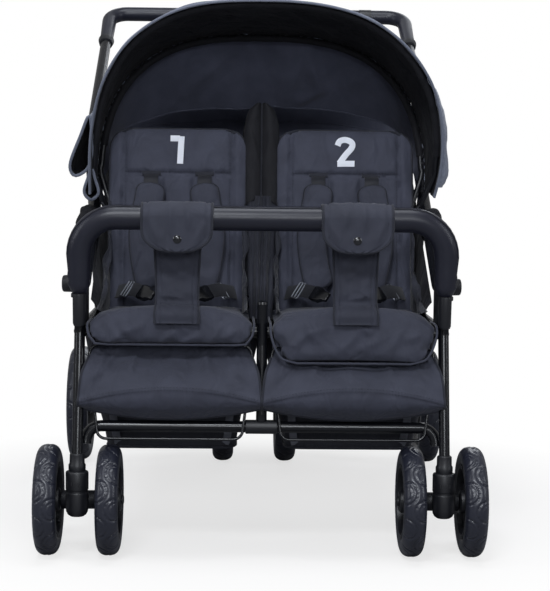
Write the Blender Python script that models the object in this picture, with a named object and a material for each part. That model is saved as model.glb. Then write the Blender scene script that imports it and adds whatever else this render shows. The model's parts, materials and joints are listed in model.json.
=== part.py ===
"""Four-seat stroller with two rows of two seats, reclining backrests, two folding hoods and a folding frame.

The origin lies on the floor under the middle of the whole stroller. +X runs across it, -Y is the front
and +Z is up. Left and right are as seen from the front. All sizes are in metres.
"""

import math

import bmesh
import bpy
from mathutils import Vector

# General
GAP = 0.0003
SIDES = (("left", -1), ("right", 1))
TUBE_SIDES = 10
THIN_SIDES = 6
BEND_STEPS = 3
ROUND_STEPS = 12
WHEEL_STEPS = 20
WRAP_STEPS = 10

# Seats, which set the stroller's width
SEAT_HALF_WIDTH = 0.1335
SEAT_CLEAR = 0.0175
SEAT_X = SEAT_HALF_WIDTH + SEAT_CLEAR

# Tubes of the frame
FRAME_X = 2 * SEAT_X
FOLD_X = FRAME_X + 0.026
TUBE_R = 0.011
FRONT_TUBE_R = 0.009
CROSS_TUBE_R = 0.0095

# Front casters and wheels
FRONT_AXLE_Y = -0.465
CASTER_TRAIL = 0.035
CASTER_Y = FRONT_AXLE_Y - CASTER_TRAIL
FRONT_WHEEL_R = 0.092
FRONT_WHEEL_W = 0.041
FRONT_WHEEL_OFFSET = 0.0505
FRONT_PIN_R = 0.005
CASTER_R = 0.0188
CASTER_LOW = 0.072
CASTER_TOP = 0.147
CASTER_BOSS_R = 0.0155
PIN_CAP_R = 0.009
SOCKET_R = 0.014
SOCKET_TOP = 0.160

# Rear wheels and axle
REAR_AXLE_Y = 0.432
REAR_WHEEL_R = 0.125
REAR_WHEEL_W = 0.048
REAR_RIM_R = 0.088
REAR_HUB_R = 0.024
REAR_OUTER_X = FOLD_X + 0.053
REAR_INNER_X = 0.068
AXLE_R = 0.006
AXLE_TUBE_R = 0.011
BORE_GAP = 0.0003
PEDAL_NEAR_X = 0.100
PEDAL_FAR_X = 0.180
PEDAL_HUB_R = 0.018
PEDAL_REACH = 0.075
PEDAL_THICK = 0.010

# Front legs, cross tube and side joints
LEG_LEAN = 0.19
LEG_TOP = 0.383
MIDDLE_LEG_TOP = 0.420
CROSS_TUBE_X = FRAME_X - 0.0115
CROSS_TUBE_TOP = 0.217
CROSS_TUBE_LOW = 0.187
CROSS_TUBE_BEND = 0.026
CROSS_TUBE_GAP = 0.0008
JOINT_Y = -0.4195
JOINT_WIDTH = 0.034
JOINT_LOW = 0.3833
JOINT_TOP = 0.467
JOINT_DEPTH = 0.059
KNOB_R = 0.014
KNOB_REACH = 0.016
JOINT_NOSE = 0.0185

# Folding joint of the handle and the rear legs
HINGE_Y = 0.030
HINGE_Z = 0.695
HINGE_R = 0.034
HINGE_LUG_R = 0.018
SLEEVE_R = 0.0138
HINGE_SLEEVE = 0.050
LEG_HINGE_Y = 0.050
LEG_HINGE_Z = 0.658
BOSS_R = 0.015
HANDLE_BOSS_R = 0.021
HOUSING_INNER_X = FRAME_X - 0.014
HOUSING_OUTER_X = FRAME_X + 0.0145

# Handle
HANDLE_Y = 0.5415
HANDLE_Z = 0.986
HANDLE_GRIP_R = 0.0155
HANDLE_BEND = 0.040
HANDLE_GRIP_LEG = 0.110

# Seat frame
RAIL_Z = 0.372
CROSS_RAIL_R = 0.010
RAIL_FRONT_Y = -0.436
RAIL_REAR_Y = 0.275
FRONT_BACK_Y = -0.262
REAR_ROW_Y = 0.075
ARM_Y = 0.165
ARM_Z = 0.668

# Seats
SEAT_THICK = 0.027
SEAT_FLAP_LOW = 0.348
SEAT_FLAP_THICK = 0.022
SEAT_FLAP_FRONT = 0.047
BACK_X = SEAT_X - 0.002
BACK_HALF_WIDTH = SEAT_HALF_WIDTH - 0.0125
BACK_LENGTH = 0.335
BACK_THICK = 0.036
BACK_ANGLE = math.radians(10.3)

# Bumper
BUMPER_Y = -0.468
BUMPER_LOW = 0.419
BUMPER_TOP_Z = 0.563
BUMPER_LEAN = 0.153
BUMPER_R = 0.009
BUMPER_GRIP_R = 0.0205
BUMPER_GRIP_END_R = 0.0145
BUMPER_BEND = 0.062
SOCKET_FACE_Z = 0.437

# Hoods
HOOP_R = 0.005
HOOD_WALL = 0.003
FRONT_HOOP_GAP = 0.0007
REAR_HOOP_GAP = 0.0009
HOOP_START = 0.050
FRONT_HOOD_Y = -0.200
REAR_HOOD_Y = 0.140
HOOP_INNER_X = FRAME_X - 0.027
HOOP_OUTER_X = FRAME_X - 0.016
BRIM_REACH = 0.014
BRIM_DROP = 0.004
ARCH_POWER = 2.7
# Each hoop of a hood: Y and Z of its top from the pivot, and its half width
FRONT_HOOD_HOOPS = ((-0.165, 0.376, FRAME_X + 0.004), (0.080, 0.338, FRAME_X - 0.004))
REAR_HOOD_HOOPS = ((-0.060, 0.257, FRAME_X - 0.003), (0.195, 0.246, FRAME_X - 0.009))
# Each arch of fabric: Y and Z of its foot and of its top from the pivot, and its half width
FRONT_HOOD_BETWEEN = (
    ((-0.013, 0.051), (-0.085, 0.371), FRAME_X + 0.002),
    ((-0.005, 0.051), (0.0, 0.356), FRAME_X - 0.001),
)
FRONT_HOOD_HEM = (
    ((0.025, 0.052), (0.095, 0.335), FRAME_X - 0.005),
    ((0.060, 0.071), (0.155, 0.271), FRAME_X - 0.014),
    ((0.095, 0.094), (0.200, 0.201), FRAME_X - 0.024),
)
REAR_HOOD_BETWEEN = (
    ((0.005, 0.049), (0.020, 0.264), FRAME_X - 0.004),
    ((0.020, 0.049), (0.110, 0.257), FRAME_X - 0.006),
)
REAR_HOOD_HEM = (
    ((0.040, 0.037), (0.210, 0.237), FRAME_X - 0.010),
    ((0.075, 0.027), (0.235, 0.157), FRAME_X - 0.019),
    ((0.095, 0.017), (0.245, 0.082), FRAME_X - 0.025),
)
ARCH_STEPS = 16

# Footrests and baskets
WIRE_R = 0.0025
WIRE_LOW = 0.198
WIRE_REACH = 0.0307
WIRE_DRAW = 0.018
WIRE_BEND = 0.016
SLING_WALL = 0.004
SLING_HALF = SEAT_X
BASKET_WALL = 0.003
BASKET_LOW = 0.176
BASKET_KNEE = 0.215
BASKET_TAPER = 0.040
BASKET_CORNER = 0.03
BASKET_FRONT_Y = -0.395
BASKET_REAR_Y = 0.0


def clear_scene():
    """Empty the scene before the stroller is made."""
    for thing in list(bpy.data.objects):
        bpy.data.objects.remove(thing)


def finish(name, colour, roughness, metallic=0.0):
    """A Principled material with one colour."""
    made = bpy.data.materials.new(name)
    made.use_nodes = True
    shader = made.node_tree.nodes["Principled BSDF"]
    shader.inputs["Base Color"].default_value = (*colour, 1.0)
    shader.inputs["Roughness"].default_value = roughness
    shader.inputs["Metallic"].default_value = metallic
    made.diffuse_color = (*colour, 1.0)
    return made


def solid(name, skin, material, smooth_angle=40):
    """An object in the scene from points and faces that close on themselves."""
    points, faces = skin
    mesh = bpy.data.meshes.new(name)
    mesh.from_pydata([tuple(point) for point in points], [], faces)
    work = bmesh.new()
    work.from_mesh(mesh)
    bmesh.ops.recalc_face_normals(work, faces=work.faces)
    work.to_mesh(mesh)
    work.free()
    mesh.materials.append(material)
    mesh.shade_smooth()
    mesh.set_sharp_from_angle(angle=math.radians(smooth_angle))
    made = bpy.data.objects.new(name, mesh)
    bpy.context.scene.collection.objects.link(made)
    return made


def hide(helper):
    """Make an object a helper that only shapes other objects."""
    helper.hide_render = True
    helper.display_type = "WIRE"


def combine(target, operation, helpers):
    """Join helpers to an object, or cut them out of it."""
    for helper in helpers:
        modifier = target.modifiers.new(helper.name, "BOOLEAN")
        modifier.operation = operation
        modifier.solver = "EXACT"
        modifier.object = helper
        hide(helper)
    return target


def join(target, *helpers):
    return combine(target, "UNION", helpers)


def carve(target, *helpers):
    return combine(target, "DIFFERENCE", helpers)


def set_pivot(thing, pivot):
    """Put an object's origin on its joint's axis and leave its shape where it is."""
    pivot = Vector(pivot)
    for vertex in thing.data.vertices:
        vertex.co -= pivot
    thing.location = pivot
    return thing


def loft(rings, closed=False):
    """A skin over rings of equally many points, with flat ends unless it closes on itself."""
    count = len(rings[0])
    points = [point for ring in rings for point in ring]
    faces = []
    for i in range(len(rings) if closed else len(rings) - 1):
        j = (i + 1) % len(rings)
        for k in range(count):
            m = (k + 1) % count
            faces.append((i * count + k, i * count + m, j * count + m, j * count + k))
    if not closed:
        faces.append(tuple(reversed(range(count))))
        faces.append(tuple((len(rings) - 1) * count + k for k in range(count)))
    return points, faces


def slab(front, back):
    """A closed skin between two grids of points with the same rows and columns."""
    rows = len(front)
    columns = len(front[0])
    points = [point for grid in (front, back) for row in grid for point in row]

    def at(side, row, column):
        return side * rows * columns + row * columns + column

    faces = []
    for i in range(rows - 1):
        for k in range(columns - 1):
            faces.append((at(0, i, k), at(0, i, k + 1), at(0, i + 1, k + 1), at(0, i + 1, k)))
            faces.append((at(1, i, k), at(1, i + 1, k), at(1, i + 1, k + 1), at(1, i, k + 1)))
    for i in range(rows - 1):
        for k in (0, columns - 1):
            faces.append((at(0, i, k), at(0, i + 1, k), at(1, i + 1, k), at(1, i, k)))
    for k in range(columns - 1):
        for i in (0, rows - 1):
            faces.append((at(0, i, k), at(0, i, k + 1), at(1, i, k + 1), at(1, i, k)))
    return points, faces


def rounded_path(corners, radius, steps=BEND_STEPS):
    """A route through corners, each corner but the two ends turned into an arc."""
    corners = [Vector(corner) for corner in corners]
    path = [corners[0]]
    for before, corner, after in zip(corners, corners[1:], corners[2:]):
        back = (before - corner).normalized()
        ahead = (after - corner).normalized()
        half = back.angle(ahead) / 2
        centre = corner + (back + ahead).normalized() * radius / math.sin(half)
        start = (corner + back * radius / math.tan(half) - centre).normalized()
        end = (corner + ahead * radius / math.tan(half) - centre).normalized()
        path += [centre + start.slerp(end, i / steps) * radius for i in range(steps + 1)]
    return path + [corners[-1]]


def rings_along(path, radii, sides, closed=False):
    """Circles of points square to a path, turned as little as possible from one to the next."""
    path = [Vector(point) for point in path]
    count = len(path)
    rings = []
    across = None
    for i, point in enumerate(path):
        before = path[i - 1] if i or closed else point
        after = path[(i + 1) % count] if i < count - 1 or closed else point
        into = (point - before).normalized()
        out = (after - point).normalized()
        along = (into + out).normalized()
        if across is None:
            across = along.orthogonal().normalized()
        across = (across - along * across.dot(along)).normalized()
        other = along.cross(across)
        turn = max(into.dot(out), 0.2) if into.length and out.length else 1.0
        stretch = 1 / math.sqrt((1 + turn) / 2)
        bend = out - into
        bend = bend.normalized() if bend.length > 1e-6 else Vector((0, 0, 0))
        ring = []
        for k in range(sides):
            angle = math.tau * (k + 0.5) / sides
            offset = across * math.cos(angle) + other * math.sin(angle)
            offset += bend * offset.dot(bend) * (stretch - 1)
            ring.append(point + offset * radii[i])
        rings.append(ring)
    return rings


def tube(path, radius, sides=TUBE_SIDES, closed=False):
    """A round bar along a path; its radius is one number or one for each point."""
    radii = radius if isinstance(radius, list) else [radius] * len(path)
    return loft(rings_along(path, radii, sides, closed), closed)


def sleeve(path, outer, bore, sides=TUBE_SIDES):
    """A tube with a bore right through it."""
    outer = outer if isinstance(outer, list) else [outer] * len(path)
    outside = rings_along(path, outer, sides)
    inside = rings_along(path, [bore] * len(path), sides)
    return loft(outside + inside[::-1], closed=True)


def turned(outline, centre, steps=ROUND_STEPS):
    """A closed outline of (along X, radius) points turned about a line along X."""
    rings = []
    for i in range(steps):
        angle = math.tau * i / steps
        across = Vector((0, math.cos(angle), math.sin(angle)))
        rings.append([Vector(centre) + Vector((x, 0, 0)) + across * r for x, r in outline])
    return loft(rings, closed=True)


def stack(outline, centre, axis, steps=ROUND_STEPS):
    """A round solid from (distance along the axis, radius) points."""
    axis = Vector(axis).normalized()
    across = axis.orthogonal().normalized()
    other = axis.cross(across)
    rings = []
    for along, radius in outline:
        ring = []
        for i in range(steps):
            angle = math.tau * (i + 0.5) / steps
            ring.append(
                Vector(centre) + axis * along + (across * math.cos(angle) + other * math.sin(angle)) * radius
            )
        rings.append(ring)
    return loft(rings)


def bar_x(low_x, high_x, y, z, radius, steps=ROUND_STEPS):
    """A plain round bar along X."""
    return stack([(low_x, radius), (high_x, radius)], (0, y, z), (1, 0, 0), steps)


def block(low, high, bevel, segments=1):
    """A box between two corners with rounded edges."""
    work = bmesh.new()
    bmesh.ops.create_cube(work, size=1.0)
    low = Vector(low)
    high = Vector(high)
    for vertex in work.verts:
        share = vertex.co + Vector((0.5, 0.5, 0.5))
        vertex.co = Vector([low[i] + (high[i] - low[i]) * share[i] for i in range(3)])
    bmesh.ops.bevel(work, geom=work.edges[:], offset=bevel, segments=segments, profile=0.5, affect="EDGES")
    work.verts.index_update()
    points = [vertex.co.copy() for vertex in work.verts]
    faces = [tuple(vertex.index for vertex in face.verts) for face in work.faces]
    work.free()
    return points, faces


def polygon_x(outline, low_x, high_x):
    """A plate square to X from a closed outline of (Y, Z) points."""
    return loft([[Vector((x, y, z)) for y, z in outline] for x in (low_x, high_x)])


def leaning(x, low, high, behind=0.0, end=0.012):
    """A route up the front legs' slope with a short upright stretch at both ends."""
    foot_y = CASTER_Y + behind + LEG_LEAN * max(low - SOCKET_TOP, 0)
    head_y = CASTER_Y + behind + LEG_LEAN * (high - SOCKET_TOP)
    return [(x, foot_y, low), (x, foot_y, low + end), (x, head_y, high - end), (x, head_y, high)]


def slope(start, end):
    """Unit vector between two (Y, Z) points, as a 3-D vector."""
    return Vector((0, end[0] - start[0], end[1] - start[1])).normalized()


HINGE = (HINGE_Y, HINGE_Z)
LEG_HINGE = (LEG_HINGE_Y, LEG_HINGE_Z)
PUSH_START = (JOINT_Y + JOINT_DEPTH / 2 + 0.015, 0.447)
PUSH_WAY = slope(PUSH_START, HINGE)
ARM_WAY = slope(HINGE, (ARM_Y, ARM_Z))


def on_push_tube(y):
    """Height of the push tube's middle line at a place along Y."""
    return HINGE_Z + (y - HINGE_Y) * PUSH_WAY.z / PUSH_WAY.y


def on_arm(y):
    """Height of the rear arm's middle line at a place along Y."""
    return HINGE_Z + (y - HINGE_Y) * ARM_WAY.z / ARM_WAY.y


def front_legs(paint):
    for side, sign in SIDES:
        path = leaning(sign * FRAME_X, SOCKET_TOP + GAP, LEG_TOP - GAP)
        solid(f"front_leg_{side}", tube(path, FRONT_TUBE_R), paint)
    cross_y = cross_tube_y(CROSS_TUBE_TOP)
    top_y = RAIL_FRONT_Y - CROSS_RAIL_R - FRONT_TUBE_R - GAP
    low = CROSS_TUBE_TOP + CROSS_TUBE_R + GAP
    path = [(0, cross_y, low), (0, cross_y, low + 0.01)]
    path += [(0, top_y, RAIL_Z - 0.02), (0, top_y, MIDDLE_LEG_TOP)]
    solid("front_leg_middle", tube(path, FRONT_TUBE_R), paint)


def cross_tube_y(z):
    """The cross tube lies just behind the front legs, on their slope."""
    return CASTER_Y + LEG_LEAN * (z - SOCKET_TOP) + FRONT_TUBE_R + CROSS_TUBE_R + CROSS_TUBE_GAP


def cross_tube(paint):
    low_y = cross_tube_y(CROSS_TUBE_LOW)
    top_y = cross_tube_y(CROSS_TUBE_TOP)
    corners = [(-CROSS_TUBE_X, low_y, CROSS_TUBE_LOW), (-CROSS_TUBE_X, top_y, CROSS_TUBE_TOP)]
    corners += [(CROSS_TUBE_X, top_y, CROSS_TUBE_TOP), (CROSS_TUBE_X, low_y, CROSS_TUBE_LOW)]
    solid("front_cross_tube", tube(rounded_path(corners, CROSS_TUBE_BEND, 4), CROSS_TUBE_R), paint)


def caster_sockets(plastic):
    outline = [(CASTER_TOP + GAP, SOCKET_R), (SOCKET_TOP - 0.003, SOCKET_R), (SOCKET_TOP, SOCKET_R - 0.002)]
    for side, sign in SIDES:
        skin = stack(outline, (sign * FRAME_X, CASTER_Y, 0), (0, 0, 1))
        solid(f"caster_socket_{side}", skin, plastic)


def caster_yoke(side, sign, plastic):
    """The swivelling housing with the boss and pin that carry the two front wheels."""
    x = sign * FRAME_X
    inner = FRONT_WHEEL_OFFSET - FRONT_WHEEL_W / 2
    outer = FRONT_WHEEL_OFFSET + FRONT_WHEEL_W / 2
    outline = [(CASTER_LOW, CASTER_R * 0.6), (CASTER_LOW + 0.006, CASTER_R * 0.9), (CASTER_LOW + 0.014, CASTER_R)]
    outline += [(CASTER_TOP - 0.002, CASTER_R), (CASTER_TOP, CASTER_R - 0.002)]
    yoke = solid(f"caster_yoke_{side}", stack(outline, (x, CASTER_Y, 0), (0, 0, 1)), plastic)
    web = block((x - 0.014, CASTER_Y, 0.079), (x + 0.014, FRONT_AXLE_Y, 0.124), 0.003)
    boss = bar_x(x - inner + 0.0005, x + inner - 0.0005, FRONT_AXLE_Y, FRONT_WHEEL_R, CASTER_BOSS_R)
    shaft = [(-outer - 0.0035, PIN_CAP_R), (-outer - GAP, PIN_CAP_R), (-outer - GAP, FRONT_PIN_R)]
    shaft += [(-along, radius) for along, radius in reversed(shaft)]
    pin = stack(shaft, (x, FRONT_AXLE_Y, FRONT_WHEEL_R), (1, 0, 0))
    helpers = [solid(f"{name}_{side}", skin, plastic) for name, skin in (("web", web), ("boss", boss), ("pin", pin))]
    join(yoke, *helpers)
    set_pivot(yoke, (x, CASTER_Y, 0))


def front_wheel_outline():
    """Half outline of a front wheel, the tyre moulded round its hub, mirrored to a whole one."""
    half = FRONT_WHEEL_W / 2
    side = [(half, FRONT_PIN_R + BORE_GAP), (half, 0.019), (half - 0.013, 0.022), (half - 0.013, 0.058)]
    side += [(half, 0.064), (half, FRONT_WHEEL_R - 0.011), (half - 0.008, FRONT_WHEEL_R)]
    return side + [(-x, r) for x, r in reversed(side)]


def front_wheels(rubber):
    for side, sign in SIDES:
        for place, step in (("outer", sign), ("inner", -sign)):
            centre = (sign * FRAME_X + step * FRONT_WHEEL_OFFSET, FRONT_AXLE_Y, FRONT_WHEEL_R)
            wheel = solid(f"front_wheel_{side}_{place}", turned(front_wheel_outline(), centre, WHEEL_STEPS), rubber)
            set_pivot(wheel, centre)


def rear_tyre_outline():
    half = REAR_WHEEL_W / 2
    side = [(half - 0.005, REAR_RIM_R), (half, REAR_RIM_R + 0.008)]
    side += [(half, REAR_WHEEL_R - 0.014), (half - 0.010, REAR_WHEEL_R)]
    return side + [(-x, r) for x, r in reversed(side)]


def rear_rim_outline():
    half = REAR_WHEEL_W / 2 - 0.0005
    side = [(half, AXLE_R + BORE_GAP), (half, REAR_HUB_R), (0.008, REAR_HUB_R + 0.003)]
    side += [(0.008, REAR_RIM_R - 0.015), (half - 0.005, REAR_RIM_R - GAP)]
    return side + [(-x, r) for x, r in reversed(side)]


def rim_windows(name, centre, plastic):
    """Five windows between the spokes, as one cutter."""
    points = []
    faces = []
    inner = REAR_HUB_R + 0.008
    outer = REAR_RIM_R - 0.021
    for i in range(5):
        middle = math.tau * i / 5
        corners = [(inner, -0.28), (outer, -0.47), (outer, 0.47), (inner, 0.28)]
        outline = [
            (centre[1] + r * math.cos(middle + turn), centre[2] + r * math.sin(middle + turn)) for r, turn in corners
        ]
        more, skin = polygon_x(outline, centre[0] - 0.02, centre[0] + 0.02)
        faces += [tuple(index + len(points) for index in face) for face in skin]
        points += more
    return solid(name, (points, faces), plastic)


def rear_wheels(rubber, plastic):
    for side, sign in SIDES:
        for place, x in (("outer", REAR_OUTER_X), ("inner", REAR_INNER_X)):
            centre = (sign * x, REAR_AXLE_Y, REAR_WHEEL_R)
            tyre = solid(f"rear_tyre_{side}_{place}", turned(rear_tyre_outline(), centre, WHEEL_STEPS), rubber)
            rim = solid(f"rear_rim_{side}_{place}", turned(rear_rim_outline(), centre, WHEEL_STEPS), plastic)
            carve(rim, rim_windows(f"windows_{side}_{place}", centre, plastic))
            set_pivot(tyre, centre)
            set_pivot(rim, centre)


def rear_axle(steel):
    """One stepped shaft for the four rear wheels and the two rear legs."""
    half = REAR_WHEEL_W / 2
    leg = (FOLD_X - TUBE_R - 0.0005, FOLD_X + TUBE_R + GAP)
    runs = [(REAR_INNER_X - half, AXLE_TUBE_R), (REAR_INNER_X + half, AXLE_R)]
    runs += [(leg[0], AXLE_TUBE_R), (leg[1], AXLE_R), (REAR_OUTER_X - half, 0.009)]
    runs += [(REAR_OUTER_X + half, AXLE_R), (REAR_OUTER_X + half + 0.007, 0.011)]
    outline = []
    start = 0
    for end, radius in runs:
        outline += [(start, radius), (end, radius)]
        start = end
    outline = [(-along, radius) for along, radius in reversed(outline[1:])] + outline[1:]
    solid("rear_axle", stack(outline, (0, REAR_AXLE_Y, REAR_WHEEL_R), (1, 0, 0)), steel)


def brake_pedals(plastic):
    for side, sign in SIDES:
        low, high = sorted((sign * PEDAL_NEAR_X, sign * PEDAL_FAR_X))
        bore = AXLE_TUBE_R / math.cos(math.pi / ROUND_STEPS) + GAP
        ring = [(low, bore), (high, bore), (high, PEDAL_HUB_R), (low, PEDAL_HUB_R)]
        pedal = solid(f"brake_pedal_{side}", turned(ring, (0, REAR_AXLE_Y, REAR_WHEEL_R)), plastic)
        near = Vector((low, REAR_AXLE_Y + AXLE_TUBE_R + 0.0025, REAR_WHEEL_R + 0.002))
        far = (high, REAR_AXLE_Y + PEDAL_REACH, near.z + PEDAL_THICK)
        plate = block(near, far, 0.003)
        join(pedal, solid(f"pedal_plate_{side}", plate, plastic))
        set_pivot(pedal, (0, REAR_AXLE_Y, REAR_WHEEL_R))


def side_joints(plastic):
    """The housings where front leg, seat rail, push tube and bumper meet."""
    for side, sign in SIDES:
        x = sign * FRAME_X
        half = JOINT_WIDTH / 2
        low_y, high_y = JOINT_Y - JOINT_DEPTH / 2, JOINT_Y + JOINT_DEPTH / 2
        skin = block((x - half, low_y, JOINT_LOW), (x + half, high_y, JOINT_TOP), 0.007, 2)
        housing = solid(f"side_joint_{side}", skin, plastic)
        nose_low = (x - half + 0.001, BUMPER_Y - JOINT_NOSE, JOINT_LOW)
        nose_high = (x + half - 0.001, low_y + 0.012, SOCKET_FACE_Z)
        front = block(nose_low, nose_high, 0.004)
        face = sign * (half - 0.004)
        low_x, high_x = sorted((x + face, x + sign * (half + KNOB_REACH)))
        knob = bar_x(low_x, high_x, JOINT_Y, JOINT_TOP - 0.018, KNOB_R)
        join(housing, solid(f"joint_front_{side}", front, plastic), solid(f"joint_knob_{side}", knob, plastic))
        way = Vector((0, -BUMPER_LEAN, 1)).normalized()
        bore = stack([(-GAP * 4, BUMPER_R + 0.0012), (0.06, BUMPER_R + 0.0012)], (x, BUMPER_Y, BUMPER_LOW), way, 12)
        carve(housing, solid(f"bumper_bore_{side}", bore, plastic))


def push_tubes(paint):
    """The tubes from the side joints up to the folding joint."""
    for side, sign in SIDES:
        x = sign * FRAME_X
        start = Vector((x, JOINT_Y + JOINT_DEPTH / 2 + GAP, PUSH_START[1]))
        end = Vector((x, *HINGE)) - PUSH_WAY * (HINGE_SLEEVE + GAP)
        path = rounded_path([start, (x, *PUSH_START), end], 0.03, 2)
        solid(f"push_tube_{side}", tube(path, TUBE_R), paint)


def hinge_housings(plastic):
    """The fixed halves of the folding joint, with sleeves for the tubes and a lug for the rear leg."""
    for side, sign in SIDES:
        low, high = sorted((sign * HOUSING_INNER_X, sign * HOUSING_OUTER_X))
        housing = solid(f"hinge_housing_{side}", bar_x(low, high, *HINGE, HINGE_R), plastic)
        lug = bar_x(low + 0.0002, high - 0.0002, *LEG_HINGE, HINGE_LUG_R)
        centre = (sign * FRAME_X, *HINGE)
        front = stack([(0, SLEEVE_R), (HINGE_SLEEVE, SLEEVE_R)], centre, -PUSH_WAY, 12)
        rear = stack([(0, SLEEVE_R), (HINGE_SLEEVE, SLEEVE_R)], centre, ARM_WAY, 12)
        parts = (("lug", lug), ("front_sleeve", front), ("rear_sleeve", rear))
        join(housing, *[solid(f"{name}_{side}", skin, plastic) for name, skin in parts])


def rear_arms(paint):
    """The tubes that carry the rear hood and the rear end of the seat frame."""
    for side, sign in SIDES:
        x = sign * FRAME_X
        start = Vector((x, *HINGE)) + ARM_WAY * (HINGE_SLEEVE + GAP)
        foot_y = RAIL_REAR_Y - 0.013
        foot = RAIL_Z + TUBE_R + GAP
        path = rounded_path([start, (x, ARM_Y, ARM_Z), (x, foot_y, foot + 0.02), (x, foot_y, foot)], 0.045)
        solid(f"rear_arm_{side}", tube(path, TUBE_R), paint)


def seat_frame(paint):
    """The welded frame under the seats: three rails and four cross tubes."""
    rails = []
    for x in (-FRAME_X, 0, FRAME_X):
        front = RAIL_FRONT_Y - 0.0115 if x else RAIL_FRONT_Y
        rails.append(tube([(x, front, RAIL_Z), (x, RAIL_REAR_Y + 0.008, RAIL_Z)], TUBE_R))
    for y in (RAIL_FRONT_Y, FRONT_BACK_Y, REAR_ROW_Y, RAIL_REAR_Y):
        rails.append(tube([(-FRAME_X, y, RAIL_Z), (FRAME_X, y, RAIL_Z)], CROSS_RAIL_R))
    frame = solid("seat_frame", rails[0], paint)
    join(frame, *[solid(f"rail_{i}", skin, paint) for i, skin in enumerate(rails[1:])])


def handle(paint, foam):
    """The U of the handle, which folds forward over the hoods, and its foam grip."""
    hinge = Vector((0, *HINGE))
    side = [Vector((FOLD_X, *HINGE)), Vector((FOLD_X, HANDLE_Y, HANDLE_Z))]
    corners = [Vector((-point.x, point.y, point.z)) for point in side] + side[::-1]
    bar = solid("handle_bar", tube(rounded_path(corners, HANDLE_BEND), TUBE_R), paint)
    bosses = []
    for name, sign in SIDES:
        low, high = sorted((sign * (HOUSING_OUTER_X + GAP), sign * (FOLD_X + TUBE_R + 0.001)))
        bosses.append(solid(f"handle_boss_{name}", bar_x(low, high, *HINGE, HANDLE_BOSS_R), paint))
    join(bar, *bosses)
    set_pivot(bar, hinge)
    way = (side[1] - side[0]).normalized()
    grip_side = [side[1] - way * (HANDLE_BEND + HANDLE_GRIP_LEG), side[1]]
    corners = [Vector((-point.x, point.y, point.z)) for point in grip_side] + grip_side[::-1]
    path = rounded_path(corners, HANDLE_BEND)
    grip = solid("handle_grip", sleeve(path, HANDLE_GRIP_R, TUBE_R + GAP, TUBE_SIDES), foam)
    set_pivot(grip, hinge)


def rear_legs(paint):
    for side, sign in SIDES:
        x = sign * FOLD_X
        path = [(x, *LEG_HINGE), (x, REAR_AXLE_Y, REAR_WHEEL_R)]
        leg = solid(f"rear_leg_{side}", tube(path, TUBE_R), paint)
        low, high = sorted((x - TUBE_R + 0.0002, x + TUBE_R - 0.0002))
        top = bar_x(low, high, *LEG_HINGE, BOSS_R)
        foot = bar_x(low, high, REAR_AXLE_Y, REAR_WHEEL_R, BOSS_R + 0.001)
        join(leg, solid(f"leg_top_{side}", top, paint), solid(f"leg_foot_{side}", foot, paint))
        hole = bar_x(low - 0.01, high + 0.01, REAR_AXLE_Y, REAR_WHEEL_R, AXLE_R + 0.0004)
        carve(leg, solid(f"axle_hole_{side}", hole, paint))
        set_pivot(leg, (x, *LEG_HINGE))


def bumper_y(z):
    return BUMPER_Y - BUMPER_LEAN * (z - BUMPER_LOW)


def bumper_path(low):
    """The U of the front bumper from a height above its sockets."""
    x = FRAME_X
    corners = [(-x, bumper_y(low), low), (-x, bumper_y(BUMPER_TOP_Z), BUMPER_TOP_Z)]
    corners += [(x, bumper_y(BUMPER_TOP_Z), BUMPER_TOP_Z), (x, bumper_y(low), low)]
    return rounded_path(corners, BUMPER_BEND, 4)


def bumper(paint, foam):
    solid("bumper_tube", tube(bumper_path(BUMPER_LOW), BUMPER_R), paint)
    path = bumper_path(SOCKET_FACE_Z + 0.0018)
    taper = (path[1] - path[0]).normalized() * 0.012
    path = [path[0], path[0] + taper] + path[1:-1] + [path[-1] + Vector((0, taper.y, taper.z)), path[-1]]
    radii = [BUMPER_GRIP_R] * len(path)
    radii[0] = radii[-1] = BUMPER_GRIP_END_R
    solid("bumper_grip", sleeve(path, radii, BUMPER_R + GAP, TUBE_SIDES), foam)


def crotch_pads(cloth):
    """Flaps that wrap the bumper and the straps that run from them down to the seats."""
    wall = 0.006
    middle = BUMPER_GRIP_R + 0.0006 + wall / 2
    centre = Vector((bumper_y(BUMPER_TOP_Z), BUMPER_TOP_Z))
    line = [(-middle - 0.001, -0.050, 0.050), (-middle, -0.022, 0.056)]
    for i in range(WRAP_STEPS + 1):
        angle = math.pi * (1 - i / WRAP_STEPS)
        line.append((middle * math.cos(angle), middle * math.sin(angle), 0.056))
    line += [(middle, -0.022, 0.052), (middle - 0.001, -0.034, 0.035), (middle, -0.080, 0.033)]
    line += [(middle - 0.001, SEAT_TOP + 0.002 - BUMPER_TOP_Z, 0.033)]
    for side, sign in SIDES:
        front, back = [], []
        for i, (y, z, half) in enumerate(line):
            before = Vector(line[max(i - 1, 0)][:2])
            after = Vector(line[min(i + 1, len(line) - 1)][:2])
            way = (after - before).normalized()
            normal = Vector((-way.y, way.x)) * wall / 2
            point = centre + Vector((y, z))
            for rows, place in ((front, point + normal), (back, point - normal)):
                rows.append([Vector((sign * BACK_X + half * s, *place)) for s in (-1, -0.5, 0, 0.5, 1)])
        solid(f"crotch_pad_{side}", slab(front, back), cloth)


SEAT_LOW = RAIL_Z + CROSS_RAIL_R + GAP
SEAT_CROWN = 0.004
SEAT_TOP = SEAT_LOW + SEAT_THICK + SEAT_CROWN
SLING_TOP = RAIL_Z - CROSS_RAIL_R - GAP
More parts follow.
